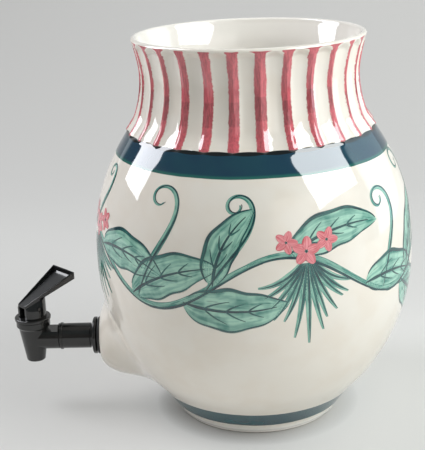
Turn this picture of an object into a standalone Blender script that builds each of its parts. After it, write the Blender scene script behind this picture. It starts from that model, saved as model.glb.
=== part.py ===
"""Glazed ceramic drink dispenser with a push-lever tap.

The pot is one slip-cast shell: a round belly on a flat foot, a fluted neck that stands a
little proud of the belly, and a hollow boss low on its left side. The tap's shank passes
through the boss and a nut inside the pot draws its shoulder against a rubber washer.
Pushing the lever rolls its foot on the bonnet. That lifts the stem, and the stem lifts a
silicone cup off the seat over the spout.

Units are metres, +Z is up, and the origin is the centre of the pot's flat underside.
The tap points along -X. Everything stands as it rests: tap shut, lever turned aside.
"""

import math

import bmesh
import bpy
from mathutils import Matrix, Vector

# Clearances
SEAT_GAP = 0.0003
RUN_GAP = 0.0003
OVERRUN = 0.003

# Pot, outside. Each outline share pairs a share of the height with a share of the belly's radius
POT_HEIGHT = 0.292
BELLY_RADIUS = 0.120
POT_OUTLINE_SHARES = (
    (0.0, 0.518),
    (0.035, 0.571),
    (0.075, 0.643),
    (0.15, 0.792),
    (0.25, 0.918),
    (0.36, 0.988),
    (0.47, 1.0),
    (0.58, 0.970),
    (0.66, 0.906),
    (0.715, 0.839),
    (0.80, 0.719),
    (0.90, 0.672),
    (1.0, 0.714),
)
FOOT_ROUND = 0.0025
POT_STEPS = 56
BELLY_LEVELS = 16

# Pot, inside
POT_WALL = 0.006
POT_FLOOR = 0.008
LIP_WALL = 0.0044
CAVITY_LEVELS = 12
CAVITY_ROUND = 0.010

# Fluted neck
NECK_HEIGHT = 0.0665
NECK_STEP = 0.0018
NECK_FLARE = 0.012
NECK_LEVELS = 7
FLUTE_COUNT = 28
FLUTE_SEGMENTS = 4
FLUTE_DEPTH = 0.0015
FLUTE_ARCH = 0.0045
FLUTE_TURN_DEG = 5.0
LIP_BAND = 0.003
SCALLOP = 0.0022

# Boss for the tap
TAP_HEIGHT = 0.0565
BOSS_PROUD = 0.0023
BOSS_FACE_RADIUS = 0.0164
BOSS_SPREAD = 0.016
BOSS_DEPTH = 0.0335
BOSS_WALL = 0.0065
BOSS_ROOT_SHARE = 0.55
POCKET_FACE_RADIUS = 0.0155
BOSS_LEVELS = 6
BOSS_STEPS = 40
SHANK_HOLE_PLAY = 0.0006

# Shank, from its shoulder outwards along the tap
SHANK_RADIUS = 0.0080
SHANK_BORE_RADIUS = 0.0044
SHANK_INSIDE = 0.0207
SHOULDER_RADIUS = 0.01465
SHOULDER_LENGTH = 0.0028
NECKED_RADIUS = 0.0088
NECKED_LENGTH = 0.0021
SLEEVE_RADIUS = 0.0100
RING_RADIUS = 0.0107
RING_LENGTH = 0.0022
TAIL_RADIUS = 0.0053
TAIL_BORE_RADIUS = 0.0034
TAIL_LENGTH = 0.0076
TAIL_GROOVE_SETBACK = 0.0030
O_RING_RADIUS = 0.0049
O_RING_WIRE_RADIUS = 0.0005
EDGE_ROUND = 0.0005
TURN_STEPS = 28

# Washers and nut
OUTER_WASHER_THICK = 0.0028
OUTER_WASHER_DISH = 0.0008
INNER_WASHER_RADIUS = 0.0140
INNER_WASHER_THICK = 0.0025
FRICTION_WASHER_RADIUS = 0.0135
FRICTION_WASHER_THICK = 0.0012
NUT_FLATS = 0.0240
NUT_THICK = 0.0080
NUT_ROUND = 0.0012
NUT_SIDES = 6

# Tap body: heights are measured from the tap's axis
BARREL_REACH = 0.0540
COLLAR_RADIUS = 0.0133
COLLAR_TOP = 0.0150
COLLAR_FOOT = 0.0095
CONE_TOP_RADIUS = 0.0100
CONE_TOP = 0.0050
NOZZLE_RADIUS = 0.0073
NOZZLE_DROP = 0.0191
NOZZLE_ROUND = 0.0010
NOZZLE_BORE_RADIUS = 0.0048
ARM_RADIUS = 0.0100
ARM_LENGTH = 0.0209
SHELF_HEIGHT = 0.0066
SHELF_END_SETBACK = 0.0010
CHAMBER_RADIUS = 0.0072
SEAT_TOP_DROP = 0.0045
SEAT_FOOT_DROP = 0.0080

# Bonnet and its gasket
BONNET_RADIUS = 0.0142
BONNET_FLANGE = 0.0025
BONNET_ROUND = 0.0008
PLUG_RADIUS = 0.0107
PLUG_LENGTH = 0.0058
PLUG_BORE_RADIUS = 0.0076
GASKET_THICK = 0.0010

# Seat cup
CUP_RADIUS = 0.0060
CUP_TIP_RADIUS = 0.0041
CUP_WAIST_RADIUS = 0.0049
CUP_WAIST_FOOT_DROP = 0.0032
CUP_WAIST_TOP = 0.0034
CUP_LIP_FOOT = 0.0046
CUP_TOP = 0.0068

# Stem
STEM_RADIUS = 0.0018
KNOB_RADIUS = 0.0029
KNOB_DROP = 0.0035
KNOB_LENGTH = 0.0030
HEAD_RADIUS = 0.0034
HEAD_WIDTH = 0.0066
HEAD_LENGTH = 0.0040

# Spring
SPRING_RADIUS = 0.0046
SPRING_WIRE = 0.0008
SPRING_TURNS = 4
SPRING_TURN_POINTS = 10
SPRING_BEVEL_STEPS = 1

# Lever: places are measured from its pin, along the lever, across it and up
LEVER_TURN_DEG = 45.0
LEVER_PRESS_DEG = 24.0
PIN_HEIGHT = 0.0080
PIN_RADIUS = 0.0015
PIN_RECESS = 0.0005
CAM_REACH = 0.0071
CAM_POINTS = 7
DRUM_RADIUS = 0.0110
DRUM_STEPS = 40
LEVER_TIP = 0.0094
LEVER_END = 0.0331
LEVER_TIP_WIDTH = 0.0102
LEVER_END_WIDTH = 0.0284
LEVER_TIP_RISE = 0.0035
LEVER_END_RISE = 0.0229
LEVER_TIP_THICK = 0.0021
LEVER_END_THICK = 0.0058
TROUGH_WALL = 0.0013
TROUGH_TIP_DEPTH = 0.0004
TROUGH_END_DEPTH = 0.0042
LEVER_ROUND = 0.0006
SLOT_WIDTH = 0.0072
SLOT_BACK = 0.0080
CHEEK_FACET_DROP = 0.0030
CHEEK_FACET_LENGTH = 0.0088

# Colours: linear red, green and blue, then roughness
GLAZE = ((0.80, 0.77, 0.70), 0.12)
TAP_BLACK = ((0.012, 0.012, 0.013), 0.30)
RUBBER_BLACK = ((0.020, 0.020, 0.021), 0.65)
SILICONE = ((0.72, 0.72, 0.70), 0.50)
SPRING_STEEL = ((0.55, 0.55, 0.56), 0.30)
NYLON = ((0.65, 0.64, 0.60), 0.45)

# Places that follow from the sizes
NECK_BOTTOM = POT_HEIGHT - NECK_HEIGHT
SHANK_HOLE_RADIUS = SHANK_RADIUS + SHANK_HOLE_PLAY
BOSS_FACE = BELLY_RADIUS + BOSS_PROUD
SHOULDER_OUT = SEAT_GAP + OUTER_WASHER_THICK + SEAT_GAP
NECKED_OUT = SHOULDER_OUT + SHOULDER_LENGTH
SLEEVE_OUT = NECKED_OUT + NECKED_LENGTH
ARM_END_OUT = BARREL_REACH - ARM_LENGTH
TAIL_OUT = ARM_END_OUT - SEAT_GAP
RING_OUT = TAIL_OUT - RING_LENGTH
SHANK_END_OUT = TAIL_OUT + TAIL_LENGTH
SHANK_BACK_OUT = SHOULDER_OUT - BOSS_WALL - SHANK_INSIDE
BONNET_TOP = COLLAR_TOP + SEAT_GAP + BONNET_FLANGE
BONNET_UNDER = COLLAR_TOP + SEAT_GAP
PLUG_FOOT = BONNET_UNDER - PLUG_LENGTH
TAIL_GROOVE_RADIUS = O_RING_RADIUS - O_RING_WIRE_RADIUS - SEAT_GAP
TAIL_GROOVE_LENGTH = 2 * (O_RING_WIRE_RADIUS + SEAT_GAP)
SOCKET_RADIUS = O_RING_RADIUS + O_RING_WIRE_RADIUS + SEAT_GAP
COUNTERBORE_RADIUS = PLUG_RADIUS + RUN_GAP
CHAMBER_TOP = PLUG_FOOT - GASKET_THICK - 2 * SEAT_GAP
LEVER_PRESS = math.radians(LEVER_PRESS_DEG)


def clear_scene():
    for obj in list(bpy.data.objects):
        bpy.data.objects.remove(obj, do_unlink=True)


def collection(name):
    made = bpy.data.collections.new(name)
    bpy.context.scene.collection.children.link(made)
    return made


def material(name, finish, metallic=0.0):
    """A Principled material from a (colour, roughness) pair."""
    colour, roughness = finish
    made = bpy.data.materials.new(name)
    made.use_nodes = True
    shader = made.node_tree.nodes["Principled BSDF"]
    shader.inputs["Base Color"].default_value = (*colour, 1.0)
    shader.inputs["Roughness"].default_value = roughness
    shader.inputs["Metallic"].default_value = metallic
    made.diffuse_color = (*colour, 1.0)
    return made


def empty(name, place, parent=None, turn=(0.0, 0.0, 0.0)):
    made = bpy.data.objects.new(name, None)
    made.location = place
    made.rotation_euler = turn
    made.parent = parent
    PARTS.objects.link(made)
    return made


def node(name, mesh, finish, parent=None):
    """A sub-part: its origin and axes are its parent's."""
    made = bpy.data.objects.new(name, mesh)
    made.parent = parent
    if finish:
        mesh.materials.append(finish)
    PARTS.objects.link(made)
    return made


def helper(name, mesh, parent=None):
    """A cutter or a solid that another one takes in. It isn't a sub-part."""
    made = bpy.data.objects.new(name, mesh)
    made.parent = parent
    made.hide_render = True
    made.display_type = "WIRE"
    CUTTERS.objects.link(made)
    return made


def combine(target, other, operation):
    """A live Boolean: UNION, DIFFERENCE or INTERSECT."""
    step = target.modifiers.new(operation.title() + " " + other.name, "BOOLEAN")
    step.operation = operation
    step.object = other
    step.solver = "EXACT"


def profile_mesh(name, points, closed):
    """A profile of (radius, height) pairs in the XZ plane."""
    mesh = bpy.data.meshes.new(name)
    edges = [(i, i + 1) for i in range(len(points) - 1)]
    if closed:
        edges.append((len(points) - 1, 0))
    mesh.from_pydata([(r, 0.0, z) for r, z in points], edges, [])
    return mesh


def turn(obj, steps):
    """Revolves an object's profile about its Z axis."""
    screw = obj.modifiers.new("Turn", "SCREW")
    screw.axis = "Z"
    screw.steps = steps
    screw.render_steps = steps
    screw.use_smooth_shade = True
    screw.use_merge_vertices = True
    screw.merge_threshold = 0.00001
    return obj


def turned_node(name, points, finish, parent, closed=True, steps=TURN_STEPS):
    return turn(node(name, profile_mesh(name, points, closed), finish, parent), steps)


def turned_helper(name, points, parent, closed=False, steps=TURN_STEPS):
    return turn(helper(name, profile_mesh(name, points, closed), parent), steps)


def rounded(points, corners):
    """Replaces named corners of a profile with short arcs of three points.

    corners maps a corner's place in the list to its radius.
    """
    out = []
    for i, here in enumerate(points):
        radius = corners.get(i)
        if not radius:
            out.append(here)
            continue
        here = Vector(here)
        before = (Vector(points[i - 1]) - here).normalized()
        after = (Vector(points[(i + 1) % len(points)]) - here).normalized()
        half = before.angle(after) / 2
        centre = here + (before + after).normalized() * radius / math.sin(half)
        first = here + before * radius / math.tan(half)
        last = here + after * radius / math.tan(half)
        middle = centre + (here - centre).normalized() * radius
        out += [tuple(first), tuple(middle), tuple(last)]
    return out


def smooth_rise(share):
    share = min(max(share, 0.0), 1.0)
    return share * share * (3 - 2 * share)


def pot_radius(height):
    """The pot's outer radius: a smooth curve through the outline's shares."""
    knots = [(z * POT_HEIGHT, r * BELLY_RADIUS) for z, r in POT_OUTLINE_SHARES]
    height = min(max(height, 0.0), POT_HEIGHT)
    last = len(knots) - 1
    i = max(k for k in range(last) if knots[k][0] <= height)
    slopes = []
    for k in (i, i + 1):
        low, high = knots[max(k - 1, 0)], knots[min(k + 1, last)]
        slopes.append((high[1] - low[1]) / (high[0] - low[0]))
    span = knots[i + 1][0] - knots[i][0]
    t = (height - knots[i][0]) / span
    ends = knots[i][1] * (1 - smooth_rise(t)) + knots[i + 1][1] * smooth_rise(t)
    return ends + span * (slopes[0] * t * (1 - t) ** 2 - slopes[1] * t * t * (1 - t))


def belly_profile():
    """Down the outside of the belly, from inside the neck to the foot."""
    top = NECK_BOTTOM + NECK_FLARE
    heights = [top + (FOOT_ROUND - top) * i / BELLY_LEVELS for i in range(BELLY_LEVELS + 1)]
    side = [(pot_radius(z), z) for z in heights]
    foot = pot_radius(0.0)
    return [(0.0, top)] + side + rounded(
        [side[-1], (foot, 0.0), (0.0, 0.0)], {1: FOOT_ROUND / 2}
    )[1:]


def cavity_profile():
    """Down the inner wall from the lip to the floor: the outline, set in by the wall."""
    mouth = pot_radius(POT_HEIGHT) - LIP_WALL
    half_lip = LIP_WALL / 2
    bend = half_lip * (1 - math.sqrt(0.5))
    rim = [
        (0.0, POT_HEIGHT + OVERRUN),
        (mouth + half_lip, POT_HEIGHT + OVERRUN),
        (mouth + half_lip, POT_HEIGHT),
        (mouth + bend, POT_HEIGHT - bend),
        (mouth, POT_HEIGHT - half_lip),
    ]
    top = POT_HEIGHT - NECK_FLARE
    side = []
    for i in range(CAVITY_LEVELS + 1):
        z = top + (POT_FLOOR - top) * i / CAVITY_LEVELS
        slope = (pot_radius(z + OVERRUN) - pot_radius(z - OVERRUN)) / (2 * OVERRUN)
        side.append((pot_radius(z) - POT_WALL * math.hypot(1, slope), z))
    floor = rounded([side[-2], side[-1], (0.0, POT_FLOOR)], {1: CAVITY_ROUND})
    return rim + side[:-1] + floor[1:]


def flute(angle):
    """How far into a channel an angle lies: 0 on a ridge, 1 along the channel's bed."""
    share = (angle - math.radians(FLUTE_TURN_DEG)) / (2 * math.pi) * FLUTE_COUNT % 1.0
    return 1 - (2 * share - 1) ** 2


def neck_mesh():
    """The neck: its outline spun about Z, then the channels pressed into it."""
    half_lip = LIP_WALL / 2
    bend = half_lip * (1 - math.sqrt(0.5))
    rim = pot_radius(POT_HEIGHT)
    heights = [NECK_BOTTOM + (POT_HEIGHT - LIP_BAND - NECK_BOTTOM) * i / NECK_LEVELS
               for i in range(NECK_LEVELS + 1)]
    heights.insert(-1, POT_HEIGHT - LIP_BAND - FLUTE_ARCH / 2)
    side = [(pot_radius(z), z) for z in reversed(heights)]
    outline = [
        (0.0, POT_HEIGHT),
        (rim - half_lip, POT_HEIGHT),
        (rim - bend, POT_HEIGHT - bend),
    ] + side + [(0.0, NECK_BOTTOM)]
    shape = bmesh.new()
    points = [shape.verts.new((r, 0.0, z)) for r, z in outline]
    edges = [shape.edges.new(pair) for pair in zip(points, points[1:])]
    bmesh.ops.spin(shape, geom=points + edges, cent=(0, 0, 0), axis=(0, 0, 1),
                   angle=2 * math.pi, steps=FLUTE_COUNT * FLUTE_SEGMENTS, use_merge=True)
    bmesh.ops.rotate(shape, verts=shape.verts, cent=(0, 0, 0),
                     matrix=Matrix.Rotation(math.radians(FLUTE_TURN_DEG), 3, "Z"))
    bmesh.ops.remove_doubles(shape, verts=shape.verts, dist=SEAT_GAP / 2)
    for vert in shape.verts:
        radius = math.hypot(vert.co.x, vert.co.y)
        if radius < rim / 2:
            continue
        height = vert.co.z
        bed = flute(math.atan2(vert.co.y, vert.co.x))
        arch_top = POT_HEIGHT - LIP_BAND - FLUTE_ARCH * (1 - bed)
        depth = FLUTE_DEPTH * bed * smooth_rise((arch_top - height) / (FLUTE_ARCH / 2))
        proud = NECK_STEP * (1 - smooth_rise((height - NECK_BOTTOM) / NECK_FLARE))
        scale = (radius + proud - depth) / radius
        vert.co.x *= scale
        vert.co.y *= scale
        if height < NECK_BOTTOM + SEAT_GAP:
            vert.co.z += SCALLOP * bed
    bmesh.ops.recalc_face_normals(shape, faces=shape.faces)
    mesh = bpy.data.meshes.new("neck")
    shape.to_mesh(mesh)
    shape.free()
    return mesh


def spread_profile(face_radius, spread, start, depth):
    """A boss or its pocket, along the tap's axis from its face back towards the pot.

    The radius grows as a quarter of an ellipse, so the boss leaves its face in a curve.
    """
    side = []
    for i in range(BOSS_LEVELS + 1):
        share = 1 - math.cos(math.pi / 2 * i / BOSS_LEVELS)
        swell = math.sqrt(1 - (1 - share) ** 2)
        side.append((face_radius + spread * swell, start - depth * share))
    root = -BOSS_FACE * BOSS_ROOT_SHARE
    return [(0.0, start)] + side + [(side[-1][0], root), (0.0, root)]


def make_pot(finish, tap):
    pot = node("pot", profile_mesh("pot", belly_profile(), False), finish)
    turn(pot, POT_STEPS)
    combine(pot, helper("neck", neck_mesh()), "UNION")
    boss = turned_helper(
        "boss", spread_profile(BOSS_FACE_RADIUS, BOSS_SPREAD, 0.0, BOSS_DEPTH),
        tap, steps=BOSS_STEPS)
    combine(pot, boss, "UNION")
    cavity = turned_helper("cavity", cavity_profile(), None, steps=POT_STEPS)
    combine(pot, cavity, "DIFFERENCE")
    pocket_spread = BOSS_FACE_RADIUS + BOSS_SPREAD - POT_WALL - POCKET_FACE_RADIUS
    pocket = turned_helper(
        "boss_pocket",
        spread_profile(POCKET_FACE_RADIUS, pocket_spread, -BOSS_WALL, BOSS_DEPTH - BOSS_WALL),
        tap, steps=BOSS_STEPS)
    combine(pot, pocket, "DIFFERENCE")
    hole = turned_helper(
        "shank_hole",
        [(0.0, OVERRUN), (SHANK_HOLE_RADIUS, OVERRUN),
         (SHANK_HOLE_RADIUS, -BOSS_WALL - OVERRUN), (0.0, -BOSS_WALL - OVERRUN)], tap)
    combine(pot, hole, "DIFFERENCE")


def make_shank(finish, rubber, tap):
    """One turned piece: threaded tube, shoulder, sleeve, ring and the tail in the tap."""
    groove_out = TAIL_OUT + TAIL_GROOVE_SETBACK
    groove_end = groove_out + TAIL_GROOVE_LENGTH
    outline = [
        (TAIL_BORE_RADIUS, SHANK_END_OUT),
        (TAIL_RADIUS, SHANK_END_OUT),
        (TAIL_RADIUS, groove_end),
        (TAIL_GROOVE_RADIUS, groove_end),
        (TAIL_GROOVE_RADIUS, groove_out),
        (TAIL_RADIUS, groove_out),
        (TAIL_RADIUS, TAIL_OUT),
        (RING_RADIUS, TAIL_OUT),
        (RING_RADIUS, RING_OUT),
        (SLEEVE_RADIUS, RING_OUT),
        (SLEEVE_RADIUS, SLEEVE_OUT),
        (NECKED_RADIUS, SLEEVE_OUT),
        (NECKED_RADIUS, NECKED_OUT),
        (SHOULDER_RADIUS, NECKED_OUT),
        (SHOULDER_RADIUS, SHOULDER_OUT),
        (SHANK_RADIUS, SHOULDER_OUT),
        (SHANK_RADIUS, SHANK_BACK_OUT),
        (SHANK_BORE_RADIUS, SHANK_BACK_OUT),
        (SHANK_BORE_RADIUS, RING_OUT),
        (TAIL_BORE_RADIUS, RING_OUT),
    ]
    turned_node("shank", rounded(outline, {
        7: EDGE_ROUND, 8: EDGE_ROUND, 10: EDGE_ROUND, 13: EDGE_ROUND * 2, 16: EDGE_ROUND,
    }), finish, tap)
    middle = groove_out + TAIL_GROOVE_LENGTH / 2
    sides = 8
    ring = [(O_RING_RADIUS + O_RING_WIRE_RADIUS * math.sin(2 * math.pi * i / sides),
             middle + O_RING_WIRE_RADIUS * math.cos(2 * math.pi * i / sides))
            for i in range(sides)]
    turned_node("shank_o_ring", ring, rubber, tap)


def washer_outline(inner, outer, low, high, dish=0.0):
    """A flat ring, or one whose outer edge is drawn back towards the pot by its dish."""
    outline = [(inner, high), (outer, high - dish), (outer, low), (inner, low)]
    return rounded(outline, {1: EDGE_ROUND, 2: EDGE_ROUND})


def make_washers(rubber, nylon, tap):
    bore = SHANK_RADIUS + RUN_GAP
    turned_node("outer_washer", washer_outline(
        bore, SHOULDER_RADIUS, SEAT_GAP, SEAT_GAP + OUTER_WASHER_THICK,
        OUTER_WASHER_DISH), rubber, tap)
    high = -BOSS_WALL - SEAT_GAP
    low = high - INNER_WASHER_THICK
    turned_node("inner_washer", washer_outline(
        bore, INNER_WASHER_RADIUS, low, high), rubber, tap)
    high = low - SEAT_GAP
    low = high - FRICTION_WASHER_THICK
    turned_node("friction_washer", [
        (bore, high), (FRICTION_WASHER_RADIUS, high),
        (FRICTION_WASHER_RADIUS, low), (bore, low)], nylon, tap)
    return low - SEAT_GAP


def make_nut(finish, tap, face):
    """A hexagonal nut: a six-sided prism cut by a turned blank that rounds its corners."""
    corner = NUT_FLATS / 2 / math.cos(math.pi / NUT_SIDES)
    low = face - NUT_THICK
    shape = bmesh.new()
    bmesh.ops.create_cone(shape, cap_ends=True, segments=NUT_SIDES, radius1=corner,
                          radius2=corner, depth=NUT_THICK,
                          matrix=Matrix.Translation((0, 0, face - NUT_THICK / 2)))
    mesh = bpy.data.meshes.new("shank_nut")
    shape.to_mesh(mesh)
    shape.free()
    nut = node("shank_nut", mesh, finish, tap)
    blank = turned_helper("nut_blank", [
        (0.0, face + OVERRUN), (corner + OVERRUN, face + OVERRUN),
        (corner + OVERRUN, low + NUT_ROUND + OVERRUN), (corner - NUT_ROUND, low - SEAT_GAP),
        (0.0, low - SEAT_GAP)], tap)
    combine(nut, blank, "INTERSECT")
    bore = turned_helper("nut_bore", [
        (0.0, face + OVERRUN), (SHANK_RADIUS + RUN_GAP, face + OVERRUN),
        (SHANK_RADIUS + RUN_GAP, low - OVERRUN), (0.0, low - OVERRUN)], tap)
    combine(nut, bore, "DIFFERENCE")


def make_body(finish, tap, barrel):
    """Barrel, collar and spout turned about the upright axis, with the arm joined on."""
    outline = rounded([
        (0.0, COLLAR_TOP),
        (COLLAR_RADIUS, COLLAR_TOP),
        (COLLAR_RADIUS, COLLAR_FOOT),
        (CONE_TOP_RADIUS, CONE_TOP),
        (NOZZLE_RADIUS, -NOZZLE_DROP),
        (0.0, -NOZZLE_DROP),
    ], {4: NOZZLE_ROUND})
    body = turned_node("tap_body", outline, finish, barrel, closed=False)
    arm = turned_helper("arm", rounded([
        (0.0, BARREL_REACH), (ARM_RADIUS, BARREL_REACH),
        (ARM_RADIUS, ARM_END_OUT), (0.0, ARM_END_OUT)], {2: EDGE_ROUND}), tap)
    shelf_end = ARM_END_OUT + SHELF_END_SETBACK
    shelf_start = BARREL_REACH
    shape = bmesh.new()
    bmesh.ops.create_cube(shape, size=1.0)
    bmesh.ops.scale(shape, verts=shape.verts,
                    vec=(ARM_RADIUS, 2 * ARM_RADIUS + OVERRUN, shelf_start - shelf_end))
    bmesh.ops.translate(shape, verts=shape.verts, vec=(
        SHELF_HEIGHT + ARM_RADIUS / 2, 0, (shelf_start + shelf_end) / 2))
    mesh = bpy.data.meshes.new("shelf")
    shape.to_mesh(mesh)
    shape.free()
    combine(arm, helper("shelf", mesh, tap), "DIFFERENCE")
    combine(body, arm, "UNION")
    throat = turned_helper("throat", [
        (0.0, COLLAR_TOP + OVERRUN),
        (COUNTERBORE_RADIUS, COLLAR_TOP + OVERRUN),
        (COUNTERBORE_RADIUS, CHAMBER_TOP),
        (CHAMBER_RADIUS, CHAMBER_TOP),
        (CHAMBER_RADIUS, -SEAT_TOP_DROP),
        (NOZZLE_BORE_RADIUS, -SEAT_FOOT_DROP),
        (NOZZLE_BORE_RADIUS, -NOZZLE_DROP - OVERRUN),
        (0.0, -NOZZLE_DROP - OVERRUN)], barrel)
    combine(body, throat, "DIFFERENCE")
    socket_end = SHANK_END_OUT + SEAT_GAP
    passage = turned_helper("passage", [
        (0.0, BARREL_REACH),
        (TAIL_BORE_RADIUS, BARREL_REACH),
        (TAIL_BORE_RADIUS, socket_end),
        (SOCKET_RADIUS, socket_end),
        (SOCKET_RADIUS, ARM_END_OUT - OVERRUN),
        (0.0, ARM_END_OUT - OVERRUN)], tap)
    combine(body, passage, "DIFFERENCE")


def make_bonnet(finish, rubber, barrel):
    outline = [
        (STEM_RADIUS + RUN_GAP, BONNET_TOP),
        (BONNET_RADIUS, BONNET_TOP),
        (BONNET_RADIUS, BONNET_UNDER),
        (PLUG_RADIUS, BONNET_UNDER),
        (PLUG_RADIUS, PLUG_FOOT),
        (PLUG_BORE_RADIUS, PLUG_FOOT),
        (PLUG_BORE_RADIUS, BONNET_UNDER),
        (STEM_RADIUS + RUN_GAP, BONNET_UNDER),
    ]
    turned_node("bonnet", rounded(outline, {1: BONNET_ROUND, 2: EDGE_ROUND}), finish, barrel)
    high = PLUG_FOOT - SEAT_GAP
    turned_node("bonnet_gasket", [
        (PLUG_BORE_RADIUS, high), (PLUG_RADIUS, high),
        (PLUG_RADIUS, high - GASKET_THICK), (PLUG_BORE_RADIUS, high - GASKET_THICK)],
        rubber, barrel)


def make_cup(finish, barrel):
    """The cup: a plug for the seat, a waist that lets water by and a lip that wipes the bore."""
    slope = (SEAT_FOOT_DROP - SEAT_TOP_DROP) / (CHAMBER_RADIUS - NOZZLE_BORE_RADIUS)
    lift = SEAT_GAP * math.hypot(1, slope)
    tip = lift - SEAT_FOOT_DROP - slope * (NOZZLE_BORE_RADIUS - CUP_TIP_RADIUS)
    shoulder = lift - SEAT_FOOT_DROP + slope * (CUP_RADIUS - NOZZLE_BORE_RADIUS)
    pocket_low = -KNOB_DROP - RUN_GAP
    pocket_high = -KNOB_DROP + KNOB_LENGTH + RUN_GAP
    turned_node("seat_cup", [
        (STEM_RADIUS + RUN_GAP, CUP_TOP),
        (CHAMBER_RADIUS - RUN_GAP, CUP_TOP),
        (CHAMBER_RADIUS - RUN_GAP, CUP_LIP_FOOT),
        (CUP_WAIST_RADIUS, CUP_WAIST_TOP),
        (CUP_WAIST_RADIUS, -CUP_WAIST_FOOT_DROP),
        (CUP_RADIUS, -CUP_WAIST_FOOT_DROP - (CUP_RADIUS - CUP_WAIST_RADIUS)),
        (CUP_RADIUS, shoulder),
        (CUP_TIP_RADIUS, tip),
        (0.0, tip),
        (0.0, pocket_low),
        (KNOB_RADIUS + RUN_GAP, pocket_low),
        (KNOB_RADIUS + RUN_GAP, pocket_high),
        (STEM_RADIUS + RUN_GAP, pocket_high)], finish, barrel)


def helix(radius, low, high, turns, turn_points):
    count = turns * turn_points
    return [Vector((radius * math.cos(2 * math.pi * i / turn_points),
                    radius * math.sin(2 * math.pi * i / turn_points),
                    low + (high - low) * i / count)) for i in range(count + 1)]


def least_gap(points, wire, turn_points):
    """The least clear distance between two stretches of a wire at least half a turn apart."""
    apart = turn_points // 2
    return min((a - b).length for i, a in enumerate(points)
               for b in points[i + apart:]) - wire


def make_spring(finish, barrel):
    low = CUP_TOP + SEAT_GAP + SPRING_WIRE / 2
    high = BONNET_UNDER - SEAT_GAP - SPRING_WIRE / 2
    points = helix(SPRING_RADIUS, low, high, SPRING_TURNS, SPRING_TURN_POINTS)
    gap = least_gap(points, SPRING_WIRE, SPRING_TURN_POINTS)
    print(f"spring: least gap to itself {gap:.5f} m")
    curve = bpy.data.curves.new("spring", "CURVE")
    curve.dimensions = "3D"
    curve.bevel_depth = SPRING_WIRE / 2
    curve.bevel_resolution = SPRING_BEVEL_STEPS
    curve.use_fill_caps = True
    line = curve.splines.new("POLY")
    line.points.add(len(points) - 1)
    for spot, place in zip(line.points, points):
        spot.co = (*place, 1.0)
    node("spring", curve, finish, barrel)


def make_stem(finish, barrel, pivot):
    """A rod with a knob below and a slab head above, drilled for the lever's pin."""
    head_foot = BONNET_TOP + PIN_HEIGHT - HEAD_LENGTH
    stem = turned_node("stem", [
        (0.0, head_foot + HEAD_RADIUS / 2),
        (STEM_RADIUS, head_foot + HEAD_RADIUS / 2),
        (STEM_RADIUS, -KNOB_DROP + KNOB_LENGTH),
        (KNOB_RADIUS, -KNOB_DROP + KNOB_LENGTH),
        (KNOB_RADIUS, -KNOB_DROP),
        (0.0, -KNOB_DROP)], finish, barrel, closed=False)
    outline = [(-HEAD_RADIUS, -HEAD_LENGTH), (HEAD_RADIUS, -HEAD_LENGTH)]
    steps = 12
    for i in range(steps + 1):
        angle = math.pi * i / steps
        outline.append((HEAD_RADIUS * math.cos(angle), HEAD_RADIUS * math.sin(angle)))
    head = helper("stem_head", extruded("stem_head", outline, HEAD_WIDTH), pivot)
    combine(stem, head, "UNION")
    combine(stem, cross_rod("pin_hole", PIN_RADIUS + RUN_GAP, 2 * DRUM_RADIUS, pivot),
            "DIFFERENCE")


def extruded(name, outline, width):
    """A solid from a closed outline of (along, up) pairs, centred across the lever."""
    shape = bmesh.new()
    face = shape.faces.new([shape.verts.new((x, -width / 2, z)) for x, z in outline])
    grown = bmesh.ops.extrude_face_region(shape, geom=[face])
    moved = [g for g in grown["geom"] if isinstance(g, bmesh.types.BMVert)]
    bmesh.ops.translate(shape, verts=moved, vec=(0, width, 0))
    bmesh.ops.recalc_face_normals(shape, faces=shape.faces)
    mesh = bpy.data.meshes.new(name)
    shape.to_mesh(mesh)
    shape.free()
    return mesh


def cross_rod_mesh(name, radius, length):
    shape = bmesh.new()
    bmesh.ops.create_cone(shape, cap_ends=True, segments=16, radius1=radius,
                          radius2=radius, depth=length,
                          matrix=Matrix.Rotation(math.pi / 2, 4, "X"))
    mesh = bpy.data.meshes.new(name)
    shape.to_mesh(mesh)
    shape.free()
    return mesh


def cross_rod(name, radius, length, parent):
    return helper(name, cross_rod_mesh(name, radius, length), parent)


def tapered_box(name, tip, end, widths, tops, bottoms, bevel=0.0):
    """A box whose width, top and bottom change evenly from its tip to its end."""
    shape = bmesh.new()
    bmesh.ops.create_cube(shape, size=1.0)
    for vert in shape.verts:
        at = 0 if vert.co.x < 0 else 1
        rise = (bottoms if vert.co.z < 0 else tops)[at]
        vert.co = Vector(((tip, end)[at], vert.co.y * widths[at], rise))
    if bevel:
        bmesh.ops.bevel(shape, geom=shape.edges[:], offset=bevel, segments=1,
                        affect="EDGES", profile=0.5)
    mesh = bpy.data.meshes.new(name)
    shape.to_mesh(mesh)
    shape.free()
    return mesh


def along(tip_value, end_value, place):
    """A value of the lever at a place between its tip and its wide end, or beyond."""
    share = (place + LEVER_TIP) / (LEVER_END + LEVER_TIP)
    return tip_value + (end_value - tip_value) * share


def rim_rise(place):
    return along(LEVER_TIP_RISE, LEVER_END_RISE, place)


def under_rise(place):
    return along(LEVER_TIP_RISE - LEVER_TIP_THICK, LEVER_END_RISE - LEVER_END_THICK, place)


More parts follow.
